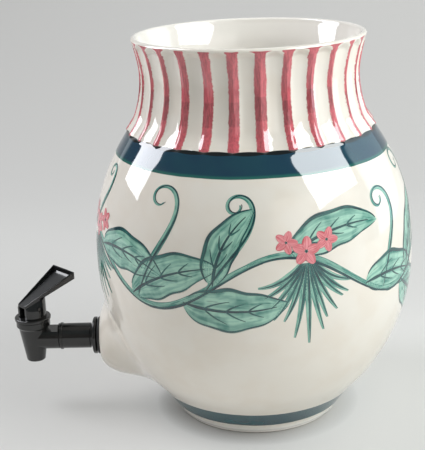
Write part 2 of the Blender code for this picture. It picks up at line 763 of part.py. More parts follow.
def cam_outline():
    """The foot's side view.

    From CAM_REACH outwards the foot is an involute: as the lever tips, the foot rolls on
    the bonnet under a line that stays CAM_REACH from the pin, so each degree lifts the
    stem equally.
    """
    drop = PIN_HEIGHT - SEAT_GAP
    outline = [(-LEVER_TIP, -drop)]
    for i in range(CAM_POINTS + 1):
        angle = LEVER_PRESS * i / CAM_POINTS
        arm = drop + CAM_REACH * angle
        outline.append((arm * math.sin(angle) + CAM_REACH * math.cos(angle),
                        -arm * math.cos(angle) + CAM_REACH * math.sin(angle)))
    back = DRUM_RADIUS + OVERRUN
    outline.append((back, outline[-1][1] + (back - outline[-1][0]) * math.tan(LEVER_PRESS)))
    outline.append((back, under_rise(back) + LEVER_ROUND))
    outline.append((-LEVER_TIP, under_rise(-LEVER_TIP) + LEVER_ROUND))
    return outline


def make_lever(finish, pivot):
    """A tapered trough on a round foot that is slotted for the stem's head."""
    trough_mesh = tapered_box(
        "lever", -LEVER_TIP, LEVER_END, (LEVER_TIP_WIDTH, LEVER_END_WIDTH),
        (rim_rise(-LEVER_TIP), rim_rise(LEVER_END)),
        (under_rise(-LEVER_TIP), under_rise(LEVER_END)), LEVER_ROUND)
    lever = node("lever", trough_mesh, finish, pivot)
    foot = helper("lever_foot", extruded("lever_foot", cam_outline(), 3 * DRUM_RADIUS), pivot)
    drum = turned_helper("lever_drum", [
        (0.0, LEVER_END_RISE), (DRUM_RADIUS, LEVER_END_RISE),
        (DRUM_RADIUS, -2 * PIN_HEIGHT), (0.0, -2 * PIN_HEIGHT)], pivot, steps=DRUM_STEPS)
    combine(foot, drum, "INTERSECT")
    for side in (1, -1):
        combine(foot, helper(f"cheek_facet_{side}", cheek_facet(side), pivot), "DIFFERENCE")
    combine(lever, foot, "UNION")
    inner_tip = -LEVER_TIP - OVERRUN
    inner_end = LEVER_END - TROUGH_WALL
    widths = [along(LEVER_TIP_WIDTH, LEVER_END_WIDTH, x) - 2 * TROUGH_WALL
              for x in (inner_tip, inner_end)]
    floors = [rim_rise(x) - along(TROUGH_TIP_DEPTH, TROUGH_END_DEPTH, x)
              for x in (inner_tip, inner_end)]
    trough = helper("trough", tapered_box(
        "trough", inner_tip, inner_end, widths,
        [rim_rise(x) + OVERRUN for x in (inner_tip, inner_end)], floors), pivot)
    combine(lever, trough, "DIFFERENCE")
    slot_tip = -LEVER_TIP - OVERRUN
    slot = helper("stem_slot", tapered_box(
        "stem_slot", slot_tip, SLOT_BACK, (SLOT_WIDTH, SLOT_WIDTH),
        (under_rise(slot_tip), under_rise(SLOT_BACK)),
        (-PIN_HEIGHT - OVERRUN, -PIN_HEIGHT - OVERRUN)), pivot)
    combine(lever, slot, "DIFFERENCE")
    combine(lever, cross_rod("lever_hole", PIN_RADIUS + RUN_GAP,
                             2 * DRUM_RADIUS + OVERRUN, pivot), "DIFFERENCE")
    pin = cross_rod_mesh("lever_pin", PIN_RADIUS, 2 * (DRUM_RADIUS - PIN_RECESS))
    node("lever_pin", pin, finish, pivot)


def cheek_facet(side):
    """A wedge that slants the foot's shoulder from the trough's edge, near the tip."""
    tip = -LEVER_TIP - OVERRUN
    end = -LEVER_TIP + CHEEK_FACET_LENGTH
    shape = bmesh.new()
    ring = []
    for x in (tip, end):
        inner = along(LEVER_TIP_WIDTH, LEVER_END_WIDTH, x) / 2
        outer = DRUM_RADIUS + OVERRUN
        top = under_rise(x)
        low = under_rise(-LEVER_TIP) - CHEEK_FACET_DROP
        corners = [(inner, top + OVERRUN), (outer, top + OVERRUN), (outer, low),
                   (inner, top)]
        ring.append([shape.verts.new((x, side * y, z)) for y, z in corners])
    for k in range(4):
        shape.faces.new((ring[0][k], ring[0][k - 1], ring[1][k - 1], ring[1][k]))
    shape.faces.new(ring[0])
    shape.faces.new(reversed(ring[1]))
    bmesh.ops.recalc_face_normals(shape, faces=shape.faces)
    mesh = bpy.data.meshes.new("cheek_facet")
    shape.to_mesh(mesh)
    shape.free()
    return mesh


def smooth_round_pieces():
    for obj in PARTS.objects:
        if obj.type == "MESH":
            obj.data.shade_smooth()


def main():
    glaze = material("glaze", GLAZE)
    black = material("tap_black", TAP_BLACK)
    rubber = material("rubber_black", RUBBER_BLACK)
    silicone = material("silicone", SILICONE)
    steel = material("spring_steel", SPRING_STEEL, 1.0)
    nylon = material("nylon", NYLON)
    tap = empty("tap_axis", (-BOSS_FACE, 0, TAP_HEIGHT), turn=(0, -math.pi / 2, 0))
    barrel = empty("barrel_axis", (-BOSS_FACE - BARREL_REACH, 0, TAP_HEIGHT))
    pivot = empty("lever_pivot", (0, 0, BONNET_TOP + PIN_HEIGHT), barrel,
                  (0, 0, math.radians(LEVER_TURN_DEG)))
    make_pot(glaze, tap)
    make_shank(black, rubber, tap)
    nut_face = make_washers(rubber, nylon, tap)
    make_nut(black, tap, nut_face)
    make_body(black, tap, barrel)
    make_bonnet(black, rubber, barrel)
    make_cup(silicone, barrel)
    make_spring(steel, barrel)
    make_stem(black, barrel, pivot)
    make_lever(black, pivot)
    smooth_round_pieces()


clear_scene()
PARTS = collection("drink_dispenser")
CUTTERS = collection("cutters")
main()
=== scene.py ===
"""The looks of a glazed ceramic drink dispenser with a black push-lever tap.

Units are metres, +Z is up, and the origin is the centre of the pot's flat underside.
The tap points along -X. Around the pot, an angle is counted from -Y towards +X.
"""

import math
from types import SimpleNamespace

import bmesh
import bpy
import numpy as np
from mathutils import Matrix, Vector


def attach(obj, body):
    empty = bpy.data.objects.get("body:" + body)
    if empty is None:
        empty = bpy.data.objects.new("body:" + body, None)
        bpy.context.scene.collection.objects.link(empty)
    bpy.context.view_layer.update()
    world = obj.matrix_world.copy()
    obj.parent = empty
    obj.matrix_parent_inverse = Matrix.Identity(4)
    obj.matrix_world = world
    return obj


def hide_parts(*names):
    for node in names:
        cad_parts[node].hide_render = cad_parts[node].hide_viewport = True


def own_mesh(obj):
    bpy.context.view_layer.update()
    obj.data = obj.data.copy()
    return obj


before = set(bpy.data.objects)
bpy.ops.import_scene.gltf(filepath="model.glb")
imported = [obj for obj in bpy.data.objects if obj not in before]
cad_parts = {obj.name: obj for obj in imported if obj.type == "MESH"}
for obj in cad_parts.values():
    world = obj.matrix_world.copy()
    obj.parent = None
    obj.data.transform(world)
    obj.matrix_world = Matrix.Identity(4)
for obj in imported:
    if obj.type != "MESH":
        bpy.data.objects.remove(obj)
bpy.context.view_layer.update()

MM = 0.001
FULL_TURN = 2 * math.pi

# Pot: each outline share pairs a share of the height with a share of the belly's radius
POT_HEIGHT = 0.292
BELLY_RADIUS = 0.120
POT_OUTLINE_SHARES = (
    (0.0, 0.518), (0.035, 0.571), (0.075, 0.643), (0.15, 0.792), (0.25, 0.918),
    (0.36, 0.988), (0.47, 1.0), (0.58, 0.970), (0.66, 0.906), (0.715, 0.839),
    (0.80, 0.719), (0.90, 0.672), (1.0, 0.714),
)
# The foot's rounded edge: its height, and its width as a share of that
FOOT_ROUND = 0.0022
FOOT_ROUND_IN = 0.7
POT_WALL = 0.006
POT_FLOOR = 0.008
# The floor's corner: the height where its curve starts, and how far it runs in
FLOOR_CORNER = 0.0190
FLOOR_CORNER_IN = 0.004
LIP_WALL = 0.0043
# How far under the top the wall starts to thicken, and over what height it does
LIP_FADE = (0.002, 0.016)
# Rows of points up the wall and down its inside: from, to and how many
OUTER_ROWS = ((0.0028, 0.0200, 8), (0.0216, 0.0920, 45), (0.0945, 0.2040, 30),
              (0.2070, 0.2199, 8))
INNER_ROWS = ((0.2875, 0.220, 14), (0.214, 0.094, 22), (0.0915, 0.0219, 30))

# Neck
NECK_BOTTOM = 0.2239
NECK_PROUD = 0.0018
NECK_PROUD_FADE = 0.012
# The step under the neck: millimetres over its bottom, and the share of its full stand
NECK_STEP = ((-3.0, 0.0), (-2.3, 0.03), (-1.7, 0.08), (-1.1, 0.16), (-0.6, 0.27),
             (-0.2, 0.42), (0.1, 0.60), (0.35, 0.78), (0.7, 0.92), (1.2, 1.0))
NECK_ROWS = 32
FLUTE_COUNT = 28
FLUTE_DEPTH = 0.0026
FLUTE_FLATNESS = 2.5
FLUTE_CREST = 0.16
FLUTE_TURN = math.radians(5.2)
FLUTE_TOP = 0.2899
# Each channel ends in an arch: its drop at the ridges, its shape and its slope's height
FLUTE_ARCH = 0.0050
ARCH_POWER = 2.4
ARCH_SLOPE = 0.0045
SCALLOP = 0.0005
FOOT_CHANNELS = 0.95
STEPS_PER_FLUTE = 13
POT_STEPS = FLUTE_COUNT * STEPS_PER_FLUTE

# Boss and the pocket behind it: face, flat radius, spread and depth
TAP_HEIGHT = 0.0565
BOSS_FACE = 0.1223
BOSS = (BOSS_FACE, 0.0164, 0.0160, 0.0335)
POCKET = (BOSS_FACE - 0.0065, 0.0155, 0.0109, 0.0270)
BOSS_BLEND = 0.015
POCKET_BLEND = 0.006
BOSS_HEIGHTS = (0.012, 0.105)
POCKET_HEIGHTS = (0.019, 0.095)
# Only the wall on this side is tested for them: minus the sine of its angle is over this
BOSS_SIDE = 0.6
# The hole for the shank: its radius, and its ends outside and inside the boss's face
SHANK_HOLE = (0.0086, 0.004, -0.012)

# Clear distances between pieces
SEAT_GAP = 0.0003
RUN_GAP = 0.0003

# Shank, washers and nut: places are counted outwards from the boss's face
SHANK_RADIUS = 0.0080
SHANK_BORE = 0.0044
SHANK_BACK = -0.0238
THREAD_PITCH = 0.0016
THREAD_DEPTH = 0.0005
SHOULDER = (0.0034, 0.0062)
SHOULDER_RADIUS = 0.01465
NECKED_END = 0.0083
NECKED_RADIUS = 0.0088
SLEEVE_RADIUS = 0.0100
RING = (0.0306, 0.0328)
RING_RADIUS = 0.0107
TAIL_END = 0.0404
TAIL_RADIUS = 0.0053
TAIL_BORE = 0.0034
GROOVE = (0.0358, 0.0374)
GROOVE_RADIUS = 0.0041
# The O-ring's radius and its wire's
O_RING = (0.0049, 0.0005)
# The outer washer's two faces, and how far its edge is drawn back
OUTER_WASHER = (0.0003, 0.0031, 0.0008)
INNER_WASHER = (-0.0093, -0.0068)
INNER_WASHER_RADIUS = 0.0140
SLIP_WASHER = (-0.0108, -0.0096)
SLIP_WASHER_RADIUS = 0.0135
NUT = (-0.0191, -0.0111)
NUT_FLATS = 0.0240
NUT_ROUND = 0.0003

# Tap body: heights are counted from the tap's axis
BARREL_REACH = 0.0540
COLLAR = (0.0103, 0.0150)
COLLAR_RADIUS = 0.0133
CONE_TOP = 0.0086
CONE_RADIUS = 0.0117
NOZZLE_RADIUS = 0.0073
NOZZLE_DROP = 0.0191
NOZZLE_BORE = 0.0048
ARM_RADIUS = 0.0100
ARM_START = 0.0331
SHELF = 0.0066
# The chamber's top and radius, and where its seat starts and ends below the axis
CHAMBER = (0.0079, 0.0072)
COUNTERBORE = 0.0110
SEAT_DROPS = (0.0045, 0.0080)
BONNET_TOP = 0.0178
BONNET_UNDER = 0.0153
BONNET_RADIUS = 0.0142
# The plug's outer and inner radius, and its lower edge
PLUG = (0.0107, 0.0076, 0.0095)
GASKET_THICK = 0.001

# Cup, stem and spring. The waist and the knob each have a radius and two heights.
CUP_TIP = (0.0041, -0.00849)
CUP_RADIUS = 0.0060
CUP_WAIST = (0.0049, 0.0034, -0.0032)
CUP_SHOULDER = -0.0043
CUP_LIP = (0.0046, 0.0068)
STEM_RADIUS = 0.0018
KNOB = (0.0029, -0.0035, -0.0005)
HEAD_RADIUS = 0.0034
HEAD_WIDTH = 0.0066
HEAD_LENGTH = 0.0040
SPRING_RADIUS = 0.0046
SPRING_WIRE = 0.0008
SPRING_TURNS = 4

# Lever: places are measured from its pin, along the lever, across it and up
LEVER_TURN = math.radians(45)
LEVER_PRESS = math.radians(24)
PIN_HEIGHT = 0.0080
PIN_RADIUS = 0.0015
PIN_LENGTH = 0.0210
CAM_REACH = 0.0071
DRUM_RADIUS = 0.0110
DRUM_SPAN = (-0.02, 0.03)
LEVER_TIP = 0.0094
LEVER_END = 0.0331
LEVER_WIDTHS = (0.0102, 0.0284)
LEVER_RISES = (0.0035, 0.0229)
LEVER_THICKS = (0.0021, 0.0058)
TROUGH_WALL = 0.0013
TROUGH_DEPTHS = (0.0004, 0.0042)
LEVER_ROUND = 0.0006
# The ramp at the end of the trough's floor: its length and rise
RAMP = (0.0014, 0.0020)
SLOT_WIDTH = 0.0072
SLOT_BACK = 0.0080
CHEEK_DROP = 0.0030
CHEEK_LENGTH = 0.0125

# How far cutting shapes run past what they cut
PAST = 0.001
FAR_PAST = 0.003

TAP_PLACE = (Matrix.Translation((-BOSS_FACE, 0, TAP_HEIGHT))
             @ Matrix.Rotation(-math.pi / 2, 4, "Y"))
BARREL_PLACE = Matrix.Translation((-BOSS_FACE - BARREL_REACH, 0, TAP_HEIGHT))
PIVOT_PLACE = (BARREL_PLACE @ Matrix.Translation((0, 0, BONNET_TOP + PIN_HEIGHT))
               @ Matrix.Rotation(LEVER_TURN, 4, "Z"))

# Garland. Its washes, lines and petals stand proud of the wall in this order.
WASH_PROUD = 0.00005
LINE_PROUD = 0.00010
PETAL_PROUD = 0.00015
# Its half widths are a stroke's and then that of the fine line that shades it. Lengths,
# headings, bends and curls are each drawn between two ends, in metres and radians.
VINE_HEIGHT = 0.140
VINE_SWING = 0.020
VINE_WAVES = 4
VINE_PHASE = 0.9
VINE_LAP = 0.04
VINE_HALVES = (0.0030, 0.0012)
LEAF_COUNT = 26
LEAF_TOP = 0.200
LEAF_BOTTOM = 0.074
LEAF_BOTTOM_AT_TAP = 0.024
LEAF_HEADINGS = (0.55, 1.05)
LEAF_LENGTHS = (0.064, 0.082)
LEAF_HALF_SHARES = (0.19, 0.24)
LEAF_BENDS = (0.3, 0.9)
MIDRIB_HALF = 0.0014
LEAF_EDGE_HALVES = (0.0017, 0.0009)
RIB_HALF = 0.0008
TENDRIL_COUNT = 12
TENDRIL_BOTTOM = 0.045
TENDRIL_HEADINGS = (0.9, 1.4)
TENDRIL_LENGTHS = (0.105, 0.130)
TENDRIL_BENDS = (0.4, 1.0)
TENDRIL_CURLS = (6.5, 8.0)
TENDRIL_HALVES = (0.0026, 0.0010)
BLOSSOM_COUNT = 4
BLOSSOM_TURN = 0.30
# Each blossom's place across and up from the vine, and its radius
BLOSSOMS = ((0.0, 0.004, 0.0095), (0.0150, 0.010, 0.0080), (-0.0135, 0.011, 0.0075))
PETALS = 5
STAMEN_HALF = 0.00035
SPRAY_SIDE = 6
SPRAY_LENGTH = 0.060
SPRAY_CLEAR = 0.30
FROND_LENGTH_SHARES = (0.82, 1.0)
FROND_HALVES = (0.0026, 0.0011)

# Stripes on the neck's ridges: half width, then how much it changes round the neck, from
# one stripe to the next, slowly, quickly and in the brush's grain
WIDEST_STRIPE = -1
STRIPE_HALF = 2.5 * MM
STRIPE_SWAY = 1.2 * MM
STRIPE_OWN = 0.6 * MM
STRIPE_SLOW = 2.2 * MM
STRIPE_WOBBLE = 0.9 * MM
STRIPE_GRAIN = 2.6 * MM
STRIPE_COVER = 0.94
STROKE_LAP = 0.2465
STROKE_LAP_HALF = 8 * MM
STROKE_LAP_OWN = 8 * MM

# Bands
BAND_LOW = 0.2082
BAND_EDGE = (0.8 * MM, 2.6 * MM)
# The near-black line at the step under the neck, partly pooled teal and partly painted shade:
# its width, and how much wider it is in the channels
BAND_POOL_AND_SHADE = 1.3 * MM
BAND_POOL_AND_SHADE_IN_CHANNELS = 1.2 * MM
HAND_SWAY = 1.6 * MM
FOOT_BAND = (0.0094, 0.0229)
FOOT_BAND_RIM = 1.2 * MM
# Height up to which the ivory under the foot's band is fully lightened: painted light from the
# floor's bounce
FOOT_PAINTED_LIGHT = 0.004
BARE_FOOT = (0.1 * MM, 0.5 * MM)

# Gloss
GLAZE_IOR = 1.85
GLAZE_ROUGHNESS = 0.05
CLAY_ROUGHNESS = 0.6
PLASTIC_IOR = 1.6
TROUGH_DULLNESS = 0.24

# Camera: degrees of turn, tilt and roll, focal length in heights of the picture, and place
CAMERA_ANGLES = (-2.238, 17.512, -2.181)
CAMERA_FOCUS = 1088.1 / 450
CAMERA_SENSOR = 36.0
CAMERA_PLACE = (0, -0.796, 0.3969)

# Paper: its sides, front, the start and radius of its sweep, and its top
PAPER_SIDES = (-1.1, 1.2)
PAPER_FRONT = -2.5
PAPER_BEND = 0.6
PAPER_BEND_RADIUS = 0.9
PAPER_TOP = 3.2
PAPER_DROP = 0.0002
# How much of its tone is a painted glow that lifts the shadows on it, for rays that see it, and
# how near a thing has to stand to darken that glow as a painted contact shadow
PAPER_GLOW_SHARE = 0.47
PAINTED_SHADOW_REACH = 0.016

# Lamps: azimuths and heights in degrees, distance, radiance, colour
SHOULDER_HEIGHT = 0.205
SOFT_BOXES = {
    "left_box": ((-119, -90), (10, 60), 1.2, 7.4, (0.94, 0.95, 1.0)),
    "right_box": ((45, 92), (19, 53), 1.3, 7.1, (0.95, 0.99, 1.0)),
}
# The room's brightness: low down by azimuth in degrees, then higher up, then overhead
ROOM_RING = (
    (-180, (0.72, 0.74, 0.75)), (-139.5, (0.80, 0.85, 0.87)), (-136, (0.12, 0.12, 0.12)),
    (-100, (0.12, 0.12, 0.12)), (-78, (0.38, 0.37, 0.36)), (-18, (0.38, 0.37, 0.36)),
    (-10, (0.15, 0.14, 0.13)), (10, (0.15, 0.14, 0.13)), (18, (0.84, 0.82, 0.79)),
    (80, (0.84, 0.82, 0.79)), (89, (0.14, 0.14, 0.14)), (98, (0.14, 0.14, 0.14)),
    (100, (1.30, 1.58, 1.68)), (118, (1.08, 1.32, 1.42)), (140, (0.82, 0.96, 1.02)),
    (180, (0.72, 0.74, 0.75)))
ROOM_RING_TOP = (0.45, 0.56)
ROOM_DIM = (0.15, 0.18, 0.18, 1.0)
ROOM_CAP = (0.90, 0.96)
ROOM_CAP_COLOUR = (0.35, 0.33, 0.31, 1.0)


def srgb(red, green, blue):
    """A colour given as it looks on screen, 0 to 255."""
    linear = []
    for part in (red, green, blue):
        part /= 255
        linear.append(part / 12.92 if part <= 0.04045 else ((part + 0.055) / 1.055) ** 2.4)
    return (*linear, 1.0)


IVORY = srgb(234, 228, 218)
IVORY_WARM = srgb(231, 223, 211)
IVORY_INSIDE = srgb(241, 236, 228)
# Ivory lightened under the foot's band: painted light from the floor's bounce
IVORY_PAINTED_LIGHT = srgb(252, 249, 244)
BARE_CLAY = srgb(214, 200, 180)
STRIPE_RED = srgb(212, 84, 98)
STRIPE_DARK = srgb(126, 28, 46)
TEAL = srgb(14, 54, 76)
TEAL_EDGE = srgb(30, 96, 88)
# Near-black at the step under the neck: pooled teal and painted shade
TEAL_POOL_AND_SHADE = srgb(5, 9, 14)
SLATE = srgb(40, 90, 98)
SLATE_EDGE = srgb(28, 72, 84)
# The paper's left and right: low, then up the back; first as lit, then as seen. Darker towards
# the upper left as painted shade.
PAPER_LIT_LOW = srgb(217, 215, 211), srgb(231, 229, 225)
PAPER_LIT_HIGH = srgb(189, 187, 184), srgb(208, 206, 203)
# A painted pool of light on the floor right of the pot: as lit, and below it as seen
PAPER_LIT_LIGHT_POOL = srgb(226, 225, 221)
PAPER_SEEN_LOW = srgb(187, 188, 188), srgb(227, 228, 226)
PAPER_SEEN_HIGH = srgb(188, 189, 190), srgb(221, 222, 221)
PAPER_SEEN_LIGHT_POOL = srgb(216, 217, 215)
PAPER_FIBRE = srgb(180, 180, 180)


# -------------------------------------------------------------------- nodes


class Nodes:
    """Adds nodes to a tree and links them up."""

    def __init__(self, tree):
        self.tree = tree

    def put(self, socket, value):
        """Links a value that is another node's socket, and sets a plain one."""
        if isinstance(value, bpy.types.NodeSocket):
            self.tree.links.new(value, socket)
        else:
            socket.default_value = value

    def node(self, kind, inputs=None, **settings):
        """A new node, its settings first and then what goes into it."""
        made = self.tree.nodes.new(kind if "Node" in kind else "ShaderNode" + kind)
        for key, value in settings.items():
            setattr(made, key, value)
        for key, value in (inputs or {}).items():
            self.put(made.inputs[key], value)
        return made

    def math(self, operation, *values, clamp=False):
        return self.node("Math", dict(enumerate(values)), operation=operation,
                         use_clamp=clamp).outputs[0]

    def add(self, first, *others):
        for other in others:
            first = self.math("ADD", first, other)
        return first

    def mul(self, first, *others):
        for other in others:
            first = self.math("MULTIPLY", first, other)
        return first

    def sub(self, first, second):
        return self.math("SUBTRACT", first, second)

    def power(self, base, exponent):
        return self.math("POWER", base, exponent)

    def rest(self, share):
        """What a share leaves of 1."""
        return self.sub(1.0, share)

    def swing(self, noise, size):
        """Noise about zero, as much as size from its lowest to its highest."""
        return self.mul(self.sub(noise, 0.5), size)

    def rise(self, value, low, high):
        """0 up to low, 1 from high on."""
        return self.node("MapRange", {"Value": value, "From Min": low, "From Max": high},
                         interpolation_type="SMOOTHSTEP").outputs["Result"]

    def edge(self, value, soft):
        """0 below zero and 1 above it, with a soft step between."""
        return self.rise(value, -soft, soft)

    def between(self, value, low, high, soft):
        return self.mul(self.rise(value, low - soft, low + soft),
                        self.rest(self.rise(value, high - soft, high + soft)))

    def mix(self, factor, first, second):
        return self.node("Mix", {0: factor, 6: first, 7: second}, data_type="RGBA").outputs[2]

    def split(self, vector):
        return self.node("SeparateXYZ", {0: vector}).outputs

    def join(self, x, y, z):
        return self.node("CombineXYZ", {0: x, 1: y, 2: z}).outputs[0]

    def noise(self, vector, scale, detail=2.0, roughness=0.5):
        return self.node("TexNoise", {"Vector": vector, "Scale": scale, "Detail": detail,
                                      "Roughness": roughness}).outputs["Fac"]

    def azimuth(self, x, y):
        """The angle around the pot, from -Y towards +X."""
        return self.math("ARCTAN2", x, self.mul(y, -1.0))

    def reach(self, x, y):
        """The distance from the pot's axis."""
        return self.math("SQRT", self.add(self.mul(x, x), self.mul(y, y)))

    def channels(self, x, y, turn, count):
        """The nearest ridge's number, how far off it is in channels, and 1 on a ridge
        down to 0 in the middle of a channel.
        """
        turns = self.math("DIVIDE", self.mul(self.sub(self.azimuth(x, y), turn), count),
                          FULL_TURN)
        index = self.math("ROUND", turns)
        offset = self.math("ABSOLUTE", self.sub(turns, index))
        return index, offset, self.rest(self.mul(offset, 2.0))


class Finish(Nodes):
    """One material, built node by node."""

    def __init__(self, name):
        self.material = bpy.data.materials.new(name)
        self.material.use_nodes = True
        super().__init__(self.material.node_tree)
        self.shader = self.tree.nodes["Principled BSDF"]

    def place(self):
        return self.node("TexCoord").outputs["Object"]

    def bump(self, height, distance, strength):
        raised = self.node("Bump", {"Distance": distance, "Strength": strength,
                                    "Height": height})
        self.put(self.shader.inputs["Normal"], raised.outputs[0])

    def set(self, **values):
        for key, value in values.items():
            self.put(self.shader.inputs[key.replace("_", " ")], value)


class Growth(Nodes):
    """A geometry nodes tree with named inputs for its sizes."""

    def __init__(self, name, sizes):
        tree = bpy.data.node_groups.new(name, "GeometryNodeTree")
        super().__init__(tree)
        face = tree.interface
        face.new_socket("Geometry", in_out="INPUT", socket_type="NodeSocketGeometry")
        self.values = {}
        for size, value in sizes.items():
            socket = face.new_socket(size, in_out="INPUT", socket_type="NodeSocketFloat")
            self.values[socket.identifier] = float(value)
        face.new_socket("Geometry", in_out="OUTPUT", socket_type="NodeSocketGeometry")
        self.given = self.node("NodeGroupInput").outputs

    def end(self, geometry, finish):
        """Closes the tree: the result as real geometry, in its material."""
        whole = self.node("GeometryNodeRealizeInstances", {0: geometry})
        dressed = self.node("GeometryNodeSetMaterial", {"Geometry": whole.outputs[0],
                                                        "Material": finish})
        self.node("NodeGroupOutput", {0: dressed.outputs[0]})

    def grow(self, obj):
        """Runs the tree on an object and keeps the plain mesh that comes out."""
        step = obj.modifiers.new(self.tree.name, "NODES")
        step.node_group = self.tree
        for identifier, value in self.values.items():
            step[identifier] = value
        return apply_modifiers(obj)


# ---------------------------------------------------------------- materials


def glaze_surface(f):
    """The gloss that the whole pot shares, painted or not."""
    f.set(Roughness=GLAZE_ROUGHNESS, IOR=GLAZE_IOR)
    f.bump(f.noise(f.place(), 16.0), 0.0006, 0.35)


def brushed_finish(name, light, dark, gaps, soft):
    """Translucent brushwork on a strip: its UV runs along and across the stroke."""
    f = Finish(name)
    marks = f.node("Attribute", attribute_name="stroke", attribute_type="GEOMETRY")
    seed, tone, length = f.split(marks.outputs["Vector"])
    along, across, _ = f.split(f.node("UVMap", uv_map="UVMap").outputs[0])
    # Hairs and pools are stretched along the stroke and differ from one to the next
    run = f.mul(along, length)
    shift = f.mul(seed, 37.0)
    hairs = f.noise(f.join(f.mul(run, 0.35), f.mul(across, 9.0), shift), 1.0, 3.0, 0.6)
    pools = f.noise(f.join(f.mul(run, 1.1), f.mul(across, 2.2), shift), 1.0)
    margin = f.rest(f.math("ABSOLUTE", f.sub(f.mul(across, 2.0), 1.0)))
    rim = f.rest(f.rise(margin, 0.05, 0.32))
    # Paint is deeper where hairs leave it, where it pools and along the stroke's rim
    depth = f.add(f.mul(f.rise(hairs, 0.38, 0.66), 0.55),
                  f.mul(f.rise(pools, 0.40, 0.66), 0.40), f.mul(rim, 0.22))
    depth = f.math("ADD", depth, f.mul(tone, 0.55), clamp=True)
    f.set(Base_Color=f.mix(depth, light, dark))
    # It thins out at a ragged edge and between the hairs
    cover = f.rise(f.add(margin, f.swing(hairs, 0.16)), 0.02, 0.02 + soft)
    filled = f.rise(f.add(hairs, f.mul(pools, 0.4)), gaps, gaps + 0.16)
    f.set(Alpha=f.mul(cover, f.add(0.35, f.mul(filled, 0.65))))
    glaze_surface(f)
    return f.material


def glaze_place(f):
    """What the paint on the pot goes by: where a point lies on its wall, and slow changes."""
    at = SimpleNamespace(place=f.place())
    at.x, at.y, at.z = f.split(at.place)
    at.index, at.offset, at.ridge = f.channels(at.x, at.y, FLUTE_TURN, FLUTE_COUNT)
    at.bed = f.rest(f.power(at.ridge, 2.0))
    at.over_step = f.sub(at.z, f.add(NECK_BOTTOM, f.mul(at.bed, SCALLOP)))
    at.neck = f.edge(at.over_step, 0.1 * MM)
    out_x, out_y, _ = f.split(f.node("NewGeometry").outputs["Normal"])
    at.outside = f.edge(f.add(f.mul(out_x, at.x), f.mul(out_y, at.y)), 0.001)
    at.wobble = f.noise(at.place, 160.0, 3.0)
    at.slow = f.noise(at.place, 38.0)
    at.hand = f.swing(f.noise(at.place, 22.0), HAND_SWAY)
    return at


def stripe_paint(f, at):
    """Where the stripes on the ridges lie, and their red."""
    own = f.node("TexWhiteNoise", {"W": at.index}, noise_dimensions="1D").outputs["Value"]
    grain = f.noise(at.place, 1500.0)
    sway = f.math("COSINE", f.mul(f.sub(at.index, WIDEST_STRIPE), 2 * FULL_TURN / FLUTE_COUNT))
    half = f.add(STRIPE_HALF, f.mul(sway, STRIPE_SWAY), f.mul(own, STRIPE_OWN),
                 f.swing(at.slow, STRIPE_SLOW), f.swing(at.wobble, STRIPE_WOBBLE),
                 f.swing(grain, STRIPE_GRAIN))
    across = f.mul(at.offset, FULL_TURN / FLUTE_COUNT, f.reach(at.x, at.y))
    stripe = f.rise(f.sub(half, across), -0.10 * MM, 0.12 * MM)
    # At the top the paint spreads into the corners beside each channel's arch
    arch = f.sub(FLUTE_TOP + 0.4 * MM, f.mul(f.power(at.ridge, ARCH_POWER), FLUTE_ARCH))
    flare = f.add(0.20, f.mul(own, 0.36))
    corner = f.mul(f.edge(f.sub(at.z, arch), 0.15 * MM),
                   f.rise(f.sub(flare, at.offset), 0.0, 0.03))
    top = f.add(FLUTE_TOP + 0.3 * MM, f.swing(at.wobble, 0.8 * MM))
    below_top = f.rest(f.edge(f.sub(at.z, top), 0.12 * MM))
    paint = f.mul(f.math("MAXIMUM", stripe, corner), below_top, at.outside, at.neck)
    # Each stripe is two strokes, from above and from below, and is darker where they lap
    lap = f.sub(at.z, f.add(STROKE_LAP, f.mul(own, STROKE_LAP_OWN)))
    lapped = f.between(lap, -STROKE_LAP_HALF, STROKE_LAP_HALF, 0.5 * MM)
    streak = f.noise(f.join(f.mul(at.x, 900.0), f.mul(at.y, 900.0), f.mul(at.z, 120.0)),
                     1.0, 3.0, 0.6)
    depth = f.add(f.mul(lapped, 0.34), f.mul(f.rise(streak, 0.3, 0.75), 0.62))
    depth = f.math("ADD", depth, f.swing(grain, 0.5), clamp=True)
    return f.mul(paint, STRIPE_COVER), f.mix(depth, STRIPE_RED, STRIPE_DARK)


def upper_band(f, at):
    """Where the band under the neck lies, and its teal: thin below, and near-black at the step,
    partly pooled teal and partly painted shade.
    """
    over = f.sub(f.add(at.z, at.hand), BAND_LOW)
    band = f.mul(f.edge(over, 0.15 * MM), f.rest(at.neck), at.outside)
    thin = f.rest(f.rise(over, *BAND_EDGE))
    # The near-black line under the step, partly pooled teal and partly painted shade, is wider
    # in the channels
    thick = f.add(BAND_POOL_AND_SHADE, f.mul(at.bed, BAND_POOL_AND_SHADE_IN_CHANNELS))
    painted_pool = f.edge(f.add(at.over_step, thick), 0.25 * MM)
    teal = f.mix(f.mul(f.rise(at.slow, 0.35, 0.75), 0.14), TEAL, TEAL_EDGE)
    return band, f.mix(painted_pool, f.mix(thin, teal, TEAL_EDGE), TEAL_POOL_AND_SHADE)


def foot_band(f, at, height):
    """Where the foot's band lies, and its slate."""
    low, high = FOOT_BAND
    core = f.between(height, low + FOOT_BAND_RIM, high - FOOT_BAND_RIM, 0.8 * MM)
    slate = f.mix(core, SLATE_EDGE, f.mix(f.rise(at.slow, 0.3, 0.7), SLATE, SLATE_EDGE))
    return f.mul(f.between(height, low, high, 0.15 * MM), at.outside), slate


